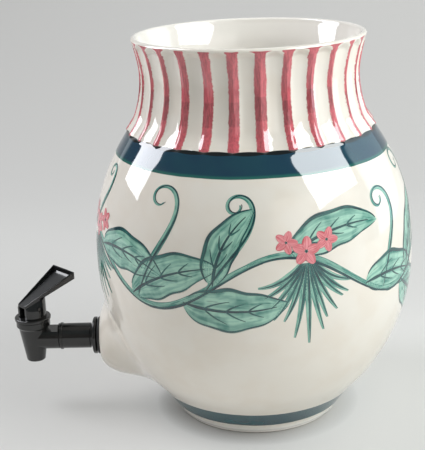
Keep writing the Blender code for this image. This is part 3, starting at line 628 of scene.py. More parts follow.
def glaze_finish():
    """Ivory glaze over the painted bands and the stripes on the neck's ridges."""
    f = Finish("painted_glaze")
    at = glaze_place(f)
    ivory = f.mix(f.rise(at.slow, 0.35, 0.7), IVORY, IVORY_WARM)
    colour = f.mix(at.outside, IVORY_INSIDE, ivory)
    for cover, paint in (stripe_paint(f, at), upper_band(f, at)):
        colour = f.mix(cover, colour, paint)
    height = f.add(at.z, f.mul(at.hand, 0.5))
    # Under the foot's band the ivory is lightened: painted light from the floor's bounce
    painted_light = f.rest(f.rise(height, FOOT_PAINTED_LIGHT, FOOT_BAND[0]))
    colour = f.mix(painted_light, colour, IVORY_PAINTED_LIGHT)
    cover, slate = foot_band(f, at, height)
    colour = f.mix(cover, colour, slate)
    bare = f.rest(f.rise(at.z, *BARE_FOOT))
    glaze_surface(f)
    f.set(Base_Color=f.mix(bare, colour, BARE_CLAY))
    f.set(Roughness=f.add(GLAZE_ROUGHNESS, f.mul(bare, CLAY_ROUGHNESS)))
    return f.material


def trough_floor(f, place):
    """1 on the floor of the lever's trough, 0 elsewhere."""
    local = f.node("VectorMath", {0: place, 1: PIVOT_PLACE.translation},
                   operation="SUBTRACT")
    x, y, z = f.split(local.outputs[0])
    run = f.add(f.mul(x, math.cos(LEVER_TURN)), f.mul(y, math.sin(LEVER_TURN)))
    low, high = (rise - depth for rise, depth in zip(LEVER_RISES, TROUGH_DEPTHS))
    slope = (high - low) / (LEVER_END + LEVER_TIP)
    floor = f.add(low + slope * LEVER_TIP, f.mul(run, slope))
    return f.between(f.sub(z, floor), -0.3 * MM, 0.3 * MM, 0.05 * MM)


def plastic_finish(name, colour, roughness, mottle=0.05, lever=False):
    """Moulded plastic: a fine grain in its gloss and a faint waviness.

    On the lever, the trough's floor is spark-eroded, so it is duller than the rest.
    """
    f = Finish(name)
    place = f.place()
    lighter = tuple(min(c * 1.5 + 0.002, 1.0) for c in colour[:3]) + (1.0,)
    gloss = f.add(roughness - mottle / 2, f.mul(f.noise(place, 900.0, 3.0), mottle))
    height = f.noise(place, 180.0)
    if lever:
        dull = trough_floor(f, place)
        gloss = f.add(gloss, f.mul(dull, TROUGH_DULLNESS))
        height = f.add(height, f.mul(dull, f.noise(place, 2600.0), 0.6))
    f.set(Base_Color=f.mix(f.rise(f.noise(place, 60.0), 0.3, 0.7), colour, lighter),
          Roughness=gloss, IOR=PLASTIC_IOR)
    f.bump(height, 0.0002, 0.12)
    return f.material


def metal_finish(name, colour, roughness):
    """Drawn wire: bright, with fine dull marks."""
    f = Finish(name)
    drawn = f.noise(f.place(), 1500.0)
    darker = tuple(c * 0.8 for c in colour[:3]) + (1.0,)
    f.set(Base_Color=f.mix(drawn, colour, darker), Metallic=1.0,
          Roughness=f.add(roughness, f.mul(drawn, 0.12)))
    return f.material


# ------------------------------------------------------------------- shapes


def add_object(name, mesh, finish=None):
    obj = bpy.data.objects.new(name, mesh)
    bpy.context.scene.collection.objects.link(obj)
    if finish:
        mesh.materials.append(finish)
    return obj


def mesh_from(name, points, faces):
    mesh = bpy.data.meshes.new(name)
    mesh.from_pydata([tuple(p) for p in points], [], [tuple(f) for f in faces])
    mesh.validate()
    return mesh


def object_from(name, shape):
    """An object from a bmesh, which is spent by it."""
    mesh = bpy.data.meshes.new(name)
    shape.to_mesh(mesh)
    shape.free()
    return add_object(name, mesh)


def settle(obj, angle=35.0):
    """Smooth shading that stays crisp at edges sharper than an angle in degrees."""
    obj.data.shade_smooth()
    obj.data.set_sharp_from_angle(angle=math.radians(angle))


def apply_modifiers(obj):
    graph = bpy.context.evaluated_depsgraph_get()
    mesh = bpy.data.meshes.new_from_object(obj.evaluated_get(graph), depsgraph=graph)
    obj.modifiers.clear()
    obj.data = mesh
    return obj


def combine(target, other, operation, solver="EXACT"):
    """Joins, cuts or keeps the overlap with another object, which is used up."""
    step = target.modifiers.new(operation, "BOOLEAN")
    step.operation = operation
    step.object = other
    step.solver = solver
    apply_modifiers(target)
    bpy.data.objects.remove(other, do_unlink=True)


def turned(name, profile, steps, place, closed=True):
    """A profile of (radius, height) pairs revolved about its own Z axis, then placed.

    A closed profile joins its last pair to its first. An open one starts and ends on the
    axis.
    """
    angles = np.arange(steps) * 2 * math.pi / steps
    points, rings = [], []
    for radius, height in profile:
        if radius < 1e-7:
            rings.append([len(points)])
            points.append((0.0, 0.0, height))
        else:
            rings.append(list(range(len(points), len(points) + steps)))
            points += [(radius * math.cos(a), radius * math.sin(a), height) for a in angles]
    faces = []
    pairs = list(zip(rings, rings[1:]))
    if closed:
        pairs.append((rings[-1], rings[0]))
    for low, high in pairs:
        for k in range(steps):
            n = (k + 1) % steps
            corners = ([low[k], low[n]] if len(low) > 1 else [low[0]]) + (
                [high[n], high[k]] if len(high) > 1 else [high[0]])
            if len(corners) > 2:
                faces.append(corners)
    shape = bmesh.new()
    shape.from_mesh(mesh_from(name, points, faces))
    bmesh.ops.recalc_face_normals(shape, faces=shape.faces)
    obj = object_from(name, shape)
    obj.data.transform(place)
    return obj


def solid_turned(name, profile, steps, place):
    """A revolved solid, from a profile that starts and ends on the axis."""
    return turned(name, profile, steps, place, closed=False)


def rod(name, radius, low, high, steps, place):
    """A plain round bar, for cutting with."""
    return solid_turned(name, [(0, high), (radius, high), (radius, low), (0, low)], steps,
                        place)


def rounded(points, corners, steps=5):
    """Replaces corners of a profile with arcs. corners maps a corner's number to a radius."""
    out = []
    for i, here in enumerate(points):
        radius = corners.get(i)
        if not radius:
            out.append(here)
            continue
        here = Vector(here)
        before = (Vector(points[i - 1]) - here).normalized()
        after = (Vector(points[(i + 1) % len(points)]) - here).normalized()
        half = before.angle(after) / 2
        centre = here + (before + after).normalized() * radius / math.sin(half)
        first = (here + before * radius / math.tan(half) - centre).normalized()
        last = (here + after * radius / math.tan(half) - centre).normalized()
        for k in range(steps + 1):
            out.append(tuple(centre + radius * first.slerp(last, k / steps)))
    return out


def bevelled(obj, width, angle=30.0, segments=2):
    """Rounds every edge sharper than an angle."""
    edge = obj.modifiers.new("Edges", "BEVEL")
    edge.width = width
    edge.segments = segments
    edge.limit_method = "ANGLE"
    edge.angle_limit = math.radians(angle)
    edge.harden_normals = True
    apply_modifiers(obj)


# ---------------------------------------------------------------------- pot


def smooth_share(share):
    share = np.clip(share, 0.0, 1.0)
    return share * share * (3 - 2 * share)


def pot_radius(height):
    """The outer radius at each height: the same curve that the solid follows."""
    knots = np.array([(z * POT_HEIGHT, r * BELLY_RADIUS) for z, r in POT_OUTLINE_SHARES])
    zs, rs = knots[:, 0], knots[:, 1]
    low = np.maximum(np.arange(len(zs)) - 1, 0)
    high = np.minimum(np.arange(len(zs)) + 1, len(zs) - 1)
    slopes = (rs[high] - rs[low]) / (zs[high] - zs[low])
    height = np.clip(np.asarray(height, float), 0.0, POT_HEIGHT)
    i = np.clip(np.searchsorted(zs, height, side="right") - 1, 0, len(zs) - 2)
    span = zs[i + 1] - zs[i]
    t = (height - zs[i]) / span
    ends = rs[i] * (1 - smooth_share(t)) + rs[i + 1] * smooth_share(t)
    return ends + span * (slopes[i] * t * (1 - t) ** 2 - slopes[i + 1] * t * t * (1 - t))


def pot_slope(height):
    """How fast the outer radius changes with height."""
    span = 2 * MM
    low, high = np.maximum(height - span, 0.0), np.minimum(height + span, POT_HEIGHT)
    return (pot_radius(high) - pot_radius(low)) / (high - low)


def blended(base, angle, height, boss, blend):
    """The radius of a turned wall where a boss or pocket is blended into it.

    The blend is a smooth union of two distance-like fields, and the wall is found along
    each ray from the pot's axis by halving.
    """
    face, face_radius, spread, depth = boss
    slope = pot_slope(height)
    toward = -np.sin(angle)
    aside = np.cos(angle)

    def field(radius):
        wall = (radius - base) / np.sqrt(1 + slope ** 2)
        ahead = radius * toward
        off = np.maximum(np.hypot(radius * aside, height - TAP_HEIGHT) - face_radius, 0.0)
        back = np.maximum(depth - (face - ahead), 0.0)
        level = (off / spread) ** 2 + (back / depth) ** 2 - 1
        steep = 2 * np.sqrt((off / spread ** 2) ** 2 + (back / depth ** 2) ** 2) + 1e-9
        bump = np.where(ahead > 0, level / steep, 1.0)
        mixed = np.clip(0.5 + 0.5 * (bump - wall) / blend, 0.0, 1.0)
        return bump * (1 - mixed) + wall * mixed - blend * mixed * (1 - mixed)

    # Look outwards, from the plain wall to past the boss, for the last place inside, and
    # then halve the step in which the wall lies
    low = np.full_like(base, 0.01)
    high = np.maximum(base, face * 1.12) + 0.004
    for share in np.linspace(0.0, 1.0, 60):
        probe = base * (1 - share) + high * share
        low = np.where(field(probe) < 0, probe, low)
    low = np.maximum(low, base - 0.0005)
    high = low + (high - base) / 55
    for _ in range(24):
        middle = (low + high) / 2
        inside = field(middle) < 0
        low = np.where(inside, middle, low)
        high = np.where(inside, high, middle)
    return (low + high) / 2


def with_boss(base, angle, height, boss, blend, heights):
    """The radius of a whole wall, with a boss or pocket in it at some heights."""
    base, angle, height = np.broadcast_arrays(base, angle, height)
    near = (-np.sin(angle) > BOSS_SIDE) & (heights[0] < height) & (height < heights[1])
    out = np.array(base, float)
    if near.any():
        out[near] = blended(base[near], angle[near], height[near], boss, blend)
    return out


def outer_radius(angle, height):
    """The pot's outer radius at each angle and height, boss included."""
    return with_boss(pot_radius(height), angle, height, BOSS, BOSS_BLEND, BOSS_HEIGHTS)


def inner_radius(angle, height):
    """The radius of the pot's inside, pocket included."""
    thicker = smooth_share((POT_HEIGHT - LIP_FADE[0] - height) / LIP_FADE[1])
    wall = LIP_WALL + (POT_WALL - LIP_WALL) * thicker
    base = pot_radius(height) - wall * np.hypot(1, pot_slope(height))
    return with_boss(base, angle, height, POCKET, POCKET_BLEND, POCKET_HEIGHTS)


def around_pot(angle, radius, height):
    """Points at angles counted from -Y towards +X."""
    return np.stack([radius * np.sin(angle), -radius * np.cos(angle), height],
                    -1).reshape(-1, 3)


class PotRings:
    """Rings of points from the middle of the pot's underside, over its lip, to its floor."""

    def __init__(self):
        self.angles = np.arange(POT_STEPS) * 2 * math.pi / POT_STEPS + FLUTE_TURN
        turns = (self.angles - FLUTE_TURN) / (FULL_TURN / FLUTE_COUNT)
        # 0 on a ridge, 1 in the middle of a channel
        self.hollow = 1 - (1 - 2 * np.abs(turns - np.round(turns))) ** 2
        self.radii, self.heights, self.masks = [], [], []

    def add(self, radius, height, mask=0.0):
        """Adds a ring. mask is the share of a channel's depth that it gets."""
        for rings, value in ((self.radii, radius), (self.heights, height)):
            rings.append(np.broadcast_to(value, self.angles.shape).astype(float))
        self.masks.append(mask)

    def foot(self):
        foot = float(pot_radius(0.0))
        for share in (0.25, 0.5, 0.75, 0.9):
            self.add(foot * share, 0.0)
        for k in range(6):
            turn = math.pi / 2 * k / 5
            self.add(foot - FOOT_ROUND * FOOT_ROUND_IN * (1 - math.sin(turn)),
                     FOOT_ROUND * (1 - math.cos(turn)))

    def belly(self):
        for rows in OUTER_ROWS:
            for z in np.linspace(*rows):
                self.add(outer_radius(self.angles, z), z)

    def neck(self):
        """The step, which follows the scallops, and the neck up to the flutes' arches."""
        for rise, share in NECK_STEP:
            z = NECK_BOTTOM + rise * MM + SCALLOP * self.hollow
            self.add(pot_radius(z) + NECK_PROUD * share, z, share * FOOT_CHANNELS)
        low, high = NECK_BOTTOM + 2.2 * MM, FLUTE_TOP - 6.5 * MM
        for k in range(1, NECK_ROWS + 1):
            share = k / NECK_ROWS
            z = low + (high - low) * share + SCALLOP * self.hollow * (
                1 - smooth_share(share * 4))
            fade = 1 - smooth_share((z - NECK_BOTTOM) / NECK_PROUD_FADE)
            self.add(pot_radius(z) + NECK_PROUD * fade, z,
                     FOOT_CHANNELS + (1 - FOOT_CHANNELS) * float(smooth_share(share * 2.2)))
        for z in np.linspace(FLUTE_TOP - 6.1 * MM, FLUTE_TOP - 0.2 * MM, 12):
            self.add(float(pot_radius(z)), z, 1.0)

    def lip(self):
        rim = float(pot_radius(POT_HEIGHT))
        half = LIP_WALL / 2
        for k in range(12):
            turn = math.pi * k / 11
            self.add(rim - half + half * math.cos(turn),
                     POT_HEIGHT - half + half * math.sin(turn))

    def inside(self):
        for rows in INNER_ROWS:
            for z in np.linspace(*rows):
                self.add(inner_radius(self.angles, z), z)
        corner = float(pot_radius(POT_FLOOR)) - FLOOR_CORNER_IN - POT_WALL * math.hypot(
            1, float(pot_slope(POT_FLOOR)))
        start = self.radii[-1].min()
        for k in range(1, 7):
            turn = math.pi / 2 * k / 6
            self.add(corner + (start - corner) * math.cos(turn),
                     FLOOR_CORNER - (FLOOR_CORNER - POT_FLOOR) * math.sin(turn))
        for share in (0.8, 0.5, 0.25):
            self.add(corner * share, POT_FLOOR)

    def mesh(self, name):
        """Quads between the rings, and fans that close the underside and the floor."""
        points = around_pot(self.angles, np.array(self.radii), np.array(self.heights))
        bottom, floor = len(points), len(points) + 1
        points = np.concatenate([points, [[0, 0, 0], [0, 0, POT_FLOOR]]])
        k = np.arange(POT_STEPS)
        n = (k + 1) % POT_STEPS
        faces = []
        for a in range(0, bottom - POT_STEPS, POT_STEPS):
            b = a + POT_STEPS
            faces += np.stack([a + k, a + n, b + n, b + k], 1).tolist()
        last = bottom - POT_STEPS
        for here, after in zip(k.tolist(), n.tolist()):
            faces += [[after, here, bottom], [last + here, last + after, floor]]
        mesh = mesh_from(name, points, faces)
        mask = mesh.attributes.new("flute_mask", "FLOAT", "POINT")
        mask.data.foreach_set("value", np.concatenate([np.repeat(self.masks, POT_STEPS),
                                                       [0, 0]]))
        return mesh


def flutes(finish):
    """Geometry nodes that press the channels into the neck."""
    g = Growth("neck_flutes", {
        "Count": FLUTE_COUNT, "Turn": FLUTE_TURN, "Depth": FLUTE_DEPTH,
        "Flatness": FLUTE_FLATNESS, "Crest": FLUTE_CREST, "Top": FLUTE_TOP,
        "Arch": FLUTE_ARCH, "Slope": ARCH_SLOPE})
    given = g.given
    x, y, z = g.split(g.node("GeometryNodeInputPosition").outputs[0])
    _, _, ridge = g.channels(x, y, given["Turn"], given["Count"])
    hollow = g.rest(g.power(ridge, given["Flatness"]))
    # The square root rounds the ridge's crest over a width that Crest sets
    soft = g.mul(given["Crest"], given["Crest"])
    crest = g.math("SQRT", g.add(g.power(hollow, 2.0), soft))
    full = g.sub(g.math("SQRT", g.add(1.0, soft)), given["Crest"])
    bed = g.math("DIVIDE", g.sub(crest, given["Crest"]), full)
    arch = g.sub(given["Top"], g.mul(g.power(ridge, ARCH_POWER), given["Arch"]))
    below = g.rise(g.sub(arch, z), 0.0, given["Slope"])
    mask = g.node("GeometryNodeInputNamedAttribute", {"Name": "flute_mask"},
                  data_type="FLOAT").outputs[0]
    depth = g.mul(g.mul(bed, below), g.mul(mask, given["Depth"]))
    scale = g.rest(g.math("DIVIDE", depth, g.math("MAXIMUM", g.reach(x, y), 1e-4)))
    moved = g.node("GeometryNodeSetPosition", {
        "Geometry": given["Geometry"], "Position": g.join(g.mul(x, scale), g.mul(y, scale), z)})
    g.end(moved.outputs[0], finish)
    return g


def make_pot(finish):
    """The slip-cast shell: foot, belly with its boss, step, fluted neck, lip and inside."""
    rings = PotRings()
    rings.foot()
    rings.belly()
    rings.neck()
    rings.lip()
    rings.inside()
    pot = add_object("pot_shell", rings.mesh("pot_shell"), finish)
    flutes(finish).grow(pot)
    radius, high, low = SHANK_HOLE
    combine(pot, rod("shank_hole", radius, low, high, 64, TAP_PLACE), "DIFFERENCE", "MANIFOLD")
    settle(pot, 50)
    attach(pot, "root")
    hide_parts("pot")


# ------------------------------------------------------------------ garland


HEIGHTS = np.linspace(0.0, NECK_BOTTOM, 400)
WALKED = np.concatenate([[0.0], np.cumsum(np.hypot(np.diff(HEIGHTS),
                                                   np.diff(pot_radius(HEIGHTS))))])


def sideways(line):
    """The direction across a line at each of its points."""
    ahead = np.gradient(line, axis=0)
    ahead /= np.maximum(np.hypot(*ahead.T), 1e-9)[:, None]
    return np.stack([-ahead[:, 1], ahead[:, 0]], 1)


class Brush:
    """Lays strokes on the pot as thin strips that follow its wall.

    A stroke is drawn on a flat sheet, in metres, and wrapped around a place on the pot:
    x runs around the pot and y runs up its wall.
    """

    def __init__(self, name, proud):
        self.name = name
        self.proud = proud
        self.points, self.faces, self.uvs, self.marks = [], [], [], []
        self.count = 0

    def stroke(self, home, line, halves, tone=0.0, across=5):
        """Adds a strip along a line. home is (angle, height), halves its half widths."""
        line = np.asarray(line, float)
        share = np.linspace(-1, 1, across)
        spread = (np.asarray(halves)[:, None] * share)[..., None]
        sheet = line[:, None, :] + sideways(line)[:, None, :] * spread
        up = np.interp(home[1], HEIGHTS, WALKED) + sheet[..., 1]
        height = np.interp(up, WALKED, HEIGHTS)
        angle = home[0] + sheet[..., 0] / pot_radius(height)
        self.points.append(around_pot(angle, outer_radius(angle, height) + self.proud, height))
        rows = len(line)
        k = self.count + np.arange((rows - 1) * across).reshape(rows - 1, across)[:, :-1]
        self.faces.append(np.stack([k, k + 1, k + across + 1, k + across], -1).reshape(-1, 4))
        self.count += rows * across
        walked = np.concatenate([[0], np.cumsum(np.hypot(*np.diff(line, axis=0).T))])
        along = np.repeat(walked / walked[-1], across)
        self.uvs.append(np.stack([along, np.tile((share + 1) / 2, rows)], 1))
        seed = len(self.marks) * 0.618 % 1.0
        self.marks.append(np.tile([seed, tone, walked[-1] * 100], (rows * across, 1)))

    def finish(self, finish):
        faces = np.concatenate(self.faces)[:, ::-1].tolist()
        mesh = mesh_from(self.name, np.concatenate(self.points), faces)
        uv = mesh.uv_layers.new(name="UVMap")
        corners = np.empty(len(mesh.loops), int)
        mesh.loops.foreach_get("vertex_index", corners)
        uv.data.foreach_set("uv", np.concatenate(self.uvs)[corners].ravel())
        marks = mesh.attributes.new("stroke", "FLOAT_VECTOR", "POINT")
        marks.data.foreach_set("vector", np.concatenate(self.marks).ravel())
        obj = add_object(self.name, mesh, finish)
        mesh.shade_smooth()
        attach(obj, "root")


def path(start, heading, length, bend=0.0, curl=0.0, steps=40):
    """A line that turns by bend radians over its length, and winds up by curl at its end."""
    share = (np.arange(steps) + 0.5) / steps
    turn = heading + bend * share + curl * share ** 4
    moves = np.stack([np.cos(turn), np.sin(turn)], 1) * (length / steps)
    return np.concatenate([[start], np.asarray(start) + np.cumsum(moves, axis=0)])


def swell_and_taper(rows, half, start=0.25, thin=0.12):
    """Half widths of a brush stroke: it presses in, then lifts to a fine end."""
    share = np.linspace(0, 1, rows)
    press = np.clip(share / start, 0, 1) ** 0.7
    lift = np.clip((1 - share) / (1 - start), 0, 1) ** 0.75
    return half * (thin + (1 - thin) * np.minimum(press, lift))


def leaf(washes, lines, home, heading, length, half, bend):
    """A long leaf: a wash, a midrib, an outline along both edges and three pairs of ribs."""
    spine = path((0, 0), heading, length, bend, steps=44)
    rows = len(spine)
    share = np.linspace(0, 1, rows)
    body = half * (np.clip(share, 0, 1) ** 0.62 * np.clip(1 - share, 0, 1) ** 0.85) / 0.385
    body *= 1 + 0.05 * np.sin(share * 19 + heading * 3)
    washes.stroke(home, spine, np.maximum(body, 0.0002), tone=0.0, across=11)
    lines.stroke(home, path((0, 0), heading, length * 0.88, bend * 0.88, steps=36),
                 swell_and_taper(37, MIDRIB_HALF, 0.15, 0.2), tone=0.9)
    for out, edge_half in zip((0.95, -0.90), LEAF_EDGE_HALVES):
        edge = spine + sideways(spine) * (body * out)[:, None]
        lines.stroke(home, edge[2:-1], swell_and_taper(rows - 3, edge_half, 0.35, 0.2),
                     tone=0.55)
    for k in range(3):
        at = int(rows * (0.22 + 0.2 * k))
        for sign in (1, -1):
            rib = path(spine[at], heading + bend * at / rows + sign * 0.62,
                       half * 1.15 * (1 - 0.2 * k), -sign * 0.35, steps=12)
            lines.stroke(home, rib, swell_and_taper(13, RIB_HALF, 0.2, 0.3), tone=0.35)


def blossom(petals, lines, home, middle, radius, turn):
    """A ring of petals, with a short fine stamen between each two."""
    for k in range(PETALS):
        heading = turn + FULL_TURN * k / PETALS
        start = np.asarray(middle) + radius * 0.12 * np.array([math.cos(heading),
                                                              math.sin(heading)])
        line = path(start, heading, radius * 0.95, 0.12, steps=16)
        share = np.linspace(0, 1, len(line))
        swell = np.clip(np.sin(math.pi * (0.06 + 0.92 * share ** 0.8)), 0, 1)
        petals.stroke(home, line, radius * 0.40 * np.sqrt(swell), tone=0.0, across=9)
    for k in range(PETALS):
        line = path(middle, turn + FULL_TURN * (k + 0.5) / PETALS, radius * 0.42, 0.2, steps=8)
        lines.stroke(home, line, np.full(9, STAMEN_HALF), tone=1.0)


def vine_height(angle):
    return VINE_HEIGHT + VINE_SWING * np.sin(VINE_WAVES * angle + VINE_PHASE)


def near_tap(angle):
    return math.cos(angle + math.pi / 2) > 0.9


def near_spray(angle):
    turns = (angle - BLOSSOM_TURN) * BLOSSOM_COUNT / FULL_TURN
    return abs(turns - round(turns)) < SPRAY_CLEAR


def draw_vine(washes, lines):
    """The vine, as two-tone strokes laid end to end."""
    half, shade = VINE_HALVES
    span = FULL_TURN / (VINE_WAVES * 2)
    for k in range(VINE_WAVES * 2):
        first = k * span
        angles = np.linspace(-VINE_LAP, span + VINE_LAP, 60)
        rise = vine_height(first + angles) - vine_height(first)
        line = np.stack([angles * BELLY_RADIUS, rise], 1)
        home = (first, float(vine_height(first)))
        washes.stroke(home, line, swell_and_taper(60, half, 0.5, 0.5), tone=0.45)
        lines.stroke(home, line + [0, -0.0019], swell_and_taper(60, shade, 0.4, 0.4), tone=0.9)


def draw_leaves(washes, lines, chance):
    """Leaves that grow up and down from the vine in turn, clear of the sprays below it."""
    for k in range(LEAF_COUNT):
        angle = FULL_TURN * (k + 0.35 * chance.uniform(-1, 1)) / LEAF_COUNT
        height = float(vine_height(angle))
        slope = math.atan2(float(vine_height(angle + 0.05)) - height, 0.05 * BELLY_RADIUS)
        up = 1 if k % 2 else -1
        heading = slope + up * chance.uniform(*LEAF_HEADINGS)
        bottom = LEAF_BOTTOM + LEAF_BOTTOM_AT_TAP * near_tap(angle)
        room = (LEAF_TOP - height) if up > 0 else (height - bottom)
        length = min(chance.uniform(*LEAF_LENGTHS), room / max(abs(math.sin(heading)), 0.3))
        if up < 0 and near_spray(angle):
            continue
        leaf(washes, lines, (angle, height), heading, length,
             length * chance.uniform(*LEAF_HALF_SHARES), -up * chance.uniform(*LEAF_BENDS))


def draw_tendrils(washes, lines, chance):
    """Tendrils that leave the vine and wind up at their ends."""
    half, shade = TENDRIL_HALVES
    for k in range(TENDRIL_COUNT):
        angle = FULL_TURN * (k + 0.5 + 0.2 * chance.uniform(-1, 1)) / TENDRIL_COUNT
        height = float(vine_height(angle))
        up = -1 if height > VINE_HEIGHT and not near_tap(angle) else 1
        if up < 0 and near_spray(angle):
            continue
        room = (LEAF_TOP - height) if up > 0 else (height - TENDRIL_BOTTOM)
        line = path((0, 0), up * chance.uniform(*TENDRIL_HEADINGS),
                    min(chance.uniform(*TENDRIL_LENGTHS), room / 0.55),
                    -up * chance.uniform(*TENDRIL_BENDS),
                    up * chance.uniform(*TENDRIL_CURLS), steps=90)
        washes.stroke((angle, height), line, swell_and_taper(91, half, 0.3, 0.2), tone=0.40)
        lines.stroke((angle, height), line + [0.0011, 0.0006],
                     swell_and_taper(91, shade, 0.3, 0.3), tone=0.9)


def draw_sprays(washes, lines, petals, chance):
    """Fans of fronds that hang from the vine, with blossoms over them."""
    half, shade = FROND_HALVES
    for k in range(BLOSSOM_COUNT):
        angle = FULL_TURN * k / BLOSSOM_COUNT + BLOSSOM_TURN
        home = (angle, float(vine_height(angle)))
        for m in range(-SPRAY_SIDE, SPRAY_SIDE + 1):
            length = SPRAY_LENGTH * (1 - 0.07 * abs(m)) * chance.uniform(*FROND_LENGTH_SHARES)
            frond = path((0.0008 * m, -0.004), -math.pi / 2 + 0.11 * m, length,
                         0.13 * m + chance.uniform(-0.1, 0.1), steps=24)
            washes.stroke(home, frond, swell_and_taper(25, half, 0.35, 0.3), tone=0.3)
            lines.stroke(home, frond + [0.0006, 0.0], swell_and_taper(25, shade, 0.25, 0.2),
                         tone=chance.uniform(0.3, 0.9))
        for x, y, size in BLOSSOMS:
            blossom(petals, lines, home, (x, y), size, chance.uniform(0, 6))


def make_garland(wash, ink, red):
    """A vine that waves around the belly, with leaves, tendrils, sprays and blossoms."""
    chance = np.random.default_rng(7)
    washes = Brush("garland_washes", WASH_PROUD)
    lines = Brush("garland_lines", LINE_PROUD)
    petals = Brush("garland_petals", PETAL_PROUD)
    draw_vine(washes, lines)
    draw_leaves(washes, lines, chance)
    draw_tendrils(washes, lines, chance)
    draw_sprays(washes, lines, petals, chance)
    washes.finish(wash)
    lines.finish(ink)
    petals.finish(red)


# ---------------------------------------------------------------------- tap


def dress(obj, node, body, finish, angle=35.0):
    """Gives a finished piece its material and its body, and hides the CAD node that it stands
    for.
    """
    obj.data.materials.clear()
    obj.data.materials.append(finish)
    settle(obj, angle)
    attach(obj, body)
    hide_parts(node)


def ring_profile(inner, outer, low, high, edge, dish=0.0):
    """A flat ring, or one whose outer edge is drawn back towards the pot by its dish."""
    return rounded([(inner, high), (outer, high - dish), (outer, low), (inner, low)],
                   {0: edge / 2, 1: edge, 2: edge, 3: edge / 2})


def cut_threads(shank):
    """Presses a one-start thread into the rows of points on the threaded tube."""
    places = np.empty(len(shank.data.vertices) * 3)
    shank.data.vertices.foreach_get("co", places)
    places = places.reshape(-1, 3)
    radius = np.hypot(places[:, 0], places[:, 1])
    turn = np.arctan2(places[:, 1], places[:, 0]) / FULL_TURN
    wave = np.abs((places[:, 2] / THREAD_PITCH - turn) % 1.0 * 2 - 1)
    fade = np.clip((SHOULDER[0] - PAST - places[:, 2]) / THREAD_PITCH, 0, 1)
    cut = THREAD_DEPTH * np.clip(wave * 1.6 - 0.3, 0, 1) * fade
    cut = np.where(np.abs(radius - SHANK_RADIUS) < 1e-5, cut, 0.0)
    places[:, :2] *= (1 - cut / radius)[:, None]
    shank.data.vertices.foreach_set("co", places.ravel())


def make_shank(plastic, rubber):
    """Threaded tube, shoulder, sleeve and ring, turned in one, and the O-ring on its tail."""
    rows = list(np.arange(SHANK_BACK, SHOULDER[0] - 0.6 * MM, THREAD_PITCH / 8))
    outline = rounded([
        (TAIL_BORE, TAIL_END), (TAIL_RADIUS, TAIL_END),
        (TAIL_RADIUS, GROOVE[1]), (GROOVE_RADIUS, GROOVE[1]),
        (GROOVE_RADIUS, GROOVE[0]), (TAIL_RADIUS, GROOVE[0]),
        (TAIL_RADIUS, RING[1]), (RING_RADIUS, RING[1]),
        (RING_RADIUS, RING[0]), (SLEEVE_RADIUS, RING[0]),
        (SLEEVE_RADIUS, NECKED_END), (NECKED_RADIUS, NECKED_END),
        (NECKED_RADIUS, SHOULDER[1]), (SHOULDER_RADIUS, SHOULDER[1]),
        (SHOULDER_RADIUS, SHOULDER[0]), (SHANK_RADIUS, SHOULDER[0]),
    ], {1: 0.0003, 7: 0.0006, 8: 0.0006, 10: 0.0005, 13: 0.0010, 14: 0.0004})
    outline += [(SHANK_RADIUS, float(row)) for row in reversed(rows)]
    outline += [(SHANK_BORE, SHANK_BACK), (SHANK_BORE, RING[0]), (TAIL_BORE, RING[0])]
    shank = turned("shank_turned", outline, 96, Matrix())
    cut_threads(shank)
    shank.data.transform(TAP_PLACE)
    dress(shank, "shank", "root", plastic)
    radius, wire = O_RING
    middle = (GROOVE[0] + GROOVE[1]) / 2
    circle = [(radius + wire * math.sin(math.pi * k / 8),
               middle + wire * math.cos(math.pi * k / 8)) for k in range(16)]
    dress(turned("o_ring", circle, 64, TAP_PLACE), "shank_o_ring", "root", rubber)


def make_washers(rubber, nylon):
    """The dished washer on the boss, and the inner and slip washers behind the wall."""
    for name, node, radius, (low, high, *dish), edge, finish, slot in (
            ("outer_washer_turned", "outer_washer", SHOULDER_RADIUS, OUTER_WASHER, 0.0006,
             rubber, "rubber_black"),
            ("inner_washer_turned", "inner_washer", INNER_WASHER_RADIUS, INNER_WASHER, 0.0006,
             rubber, "rubber_black"),
            ("slip_washer_turned", "friction_washer", SLIP_WASHER_RADIUS, SLIP_WASHER, 0.0002,
             nylon, "nylon")):
        profile = ring_profile(SHANK_RADIUS + RUN_GAP, radius, low, high, edge, *dish)
        dress(turned(name, profile, 96, TAP_PLACE), node, "root", finish)


def make_nut(plastic):
    """A hexagonal nut whose corners are rounded on the side away from the wall."""
    corner = NUT_FLATS / 2 / math.cos(math.pi / 6)
    low, high = NUT
    nut = rod("nut_turned", corner, low, high, 6, Matrix())
    blank = solid_turned("nut_blank", [
        (0, high + PAST), (corner + PAST, high + PAST), (corner + PAST, low + 2 * MM),
        (corner - 1.2 * MM, low - 0.1 * MM), (0, low - 0.1 * MM)], 96, Matrix())
    combine(nut, blank, "INTERSECT")
    bore = rod("nut_bore", SHANK_RADIUS + RUN_GAP, low - PAST, high + PAST, 96, Matrix())
    combine(nut, bore, "DIFFERENCE")
    bevelled(nut, NUT_ROUND)
    nut.data.transform(TAP_PLACE)
    dress(nut, "shank_nut", "root", plastic)


def block(name, xs, ys, zs):
    """A box between pairs of places."""
    shape = bmesh.new()
    bmesh.ops.create_cube(shape, size=1.0)
    for vert in shape.verts:
        vert.co = Vector([pair[0] if value < 0 else pair[1]
                          for value, pair in zip(vert.co, (xs, ys, zs))])
    return object_from(name, shape)


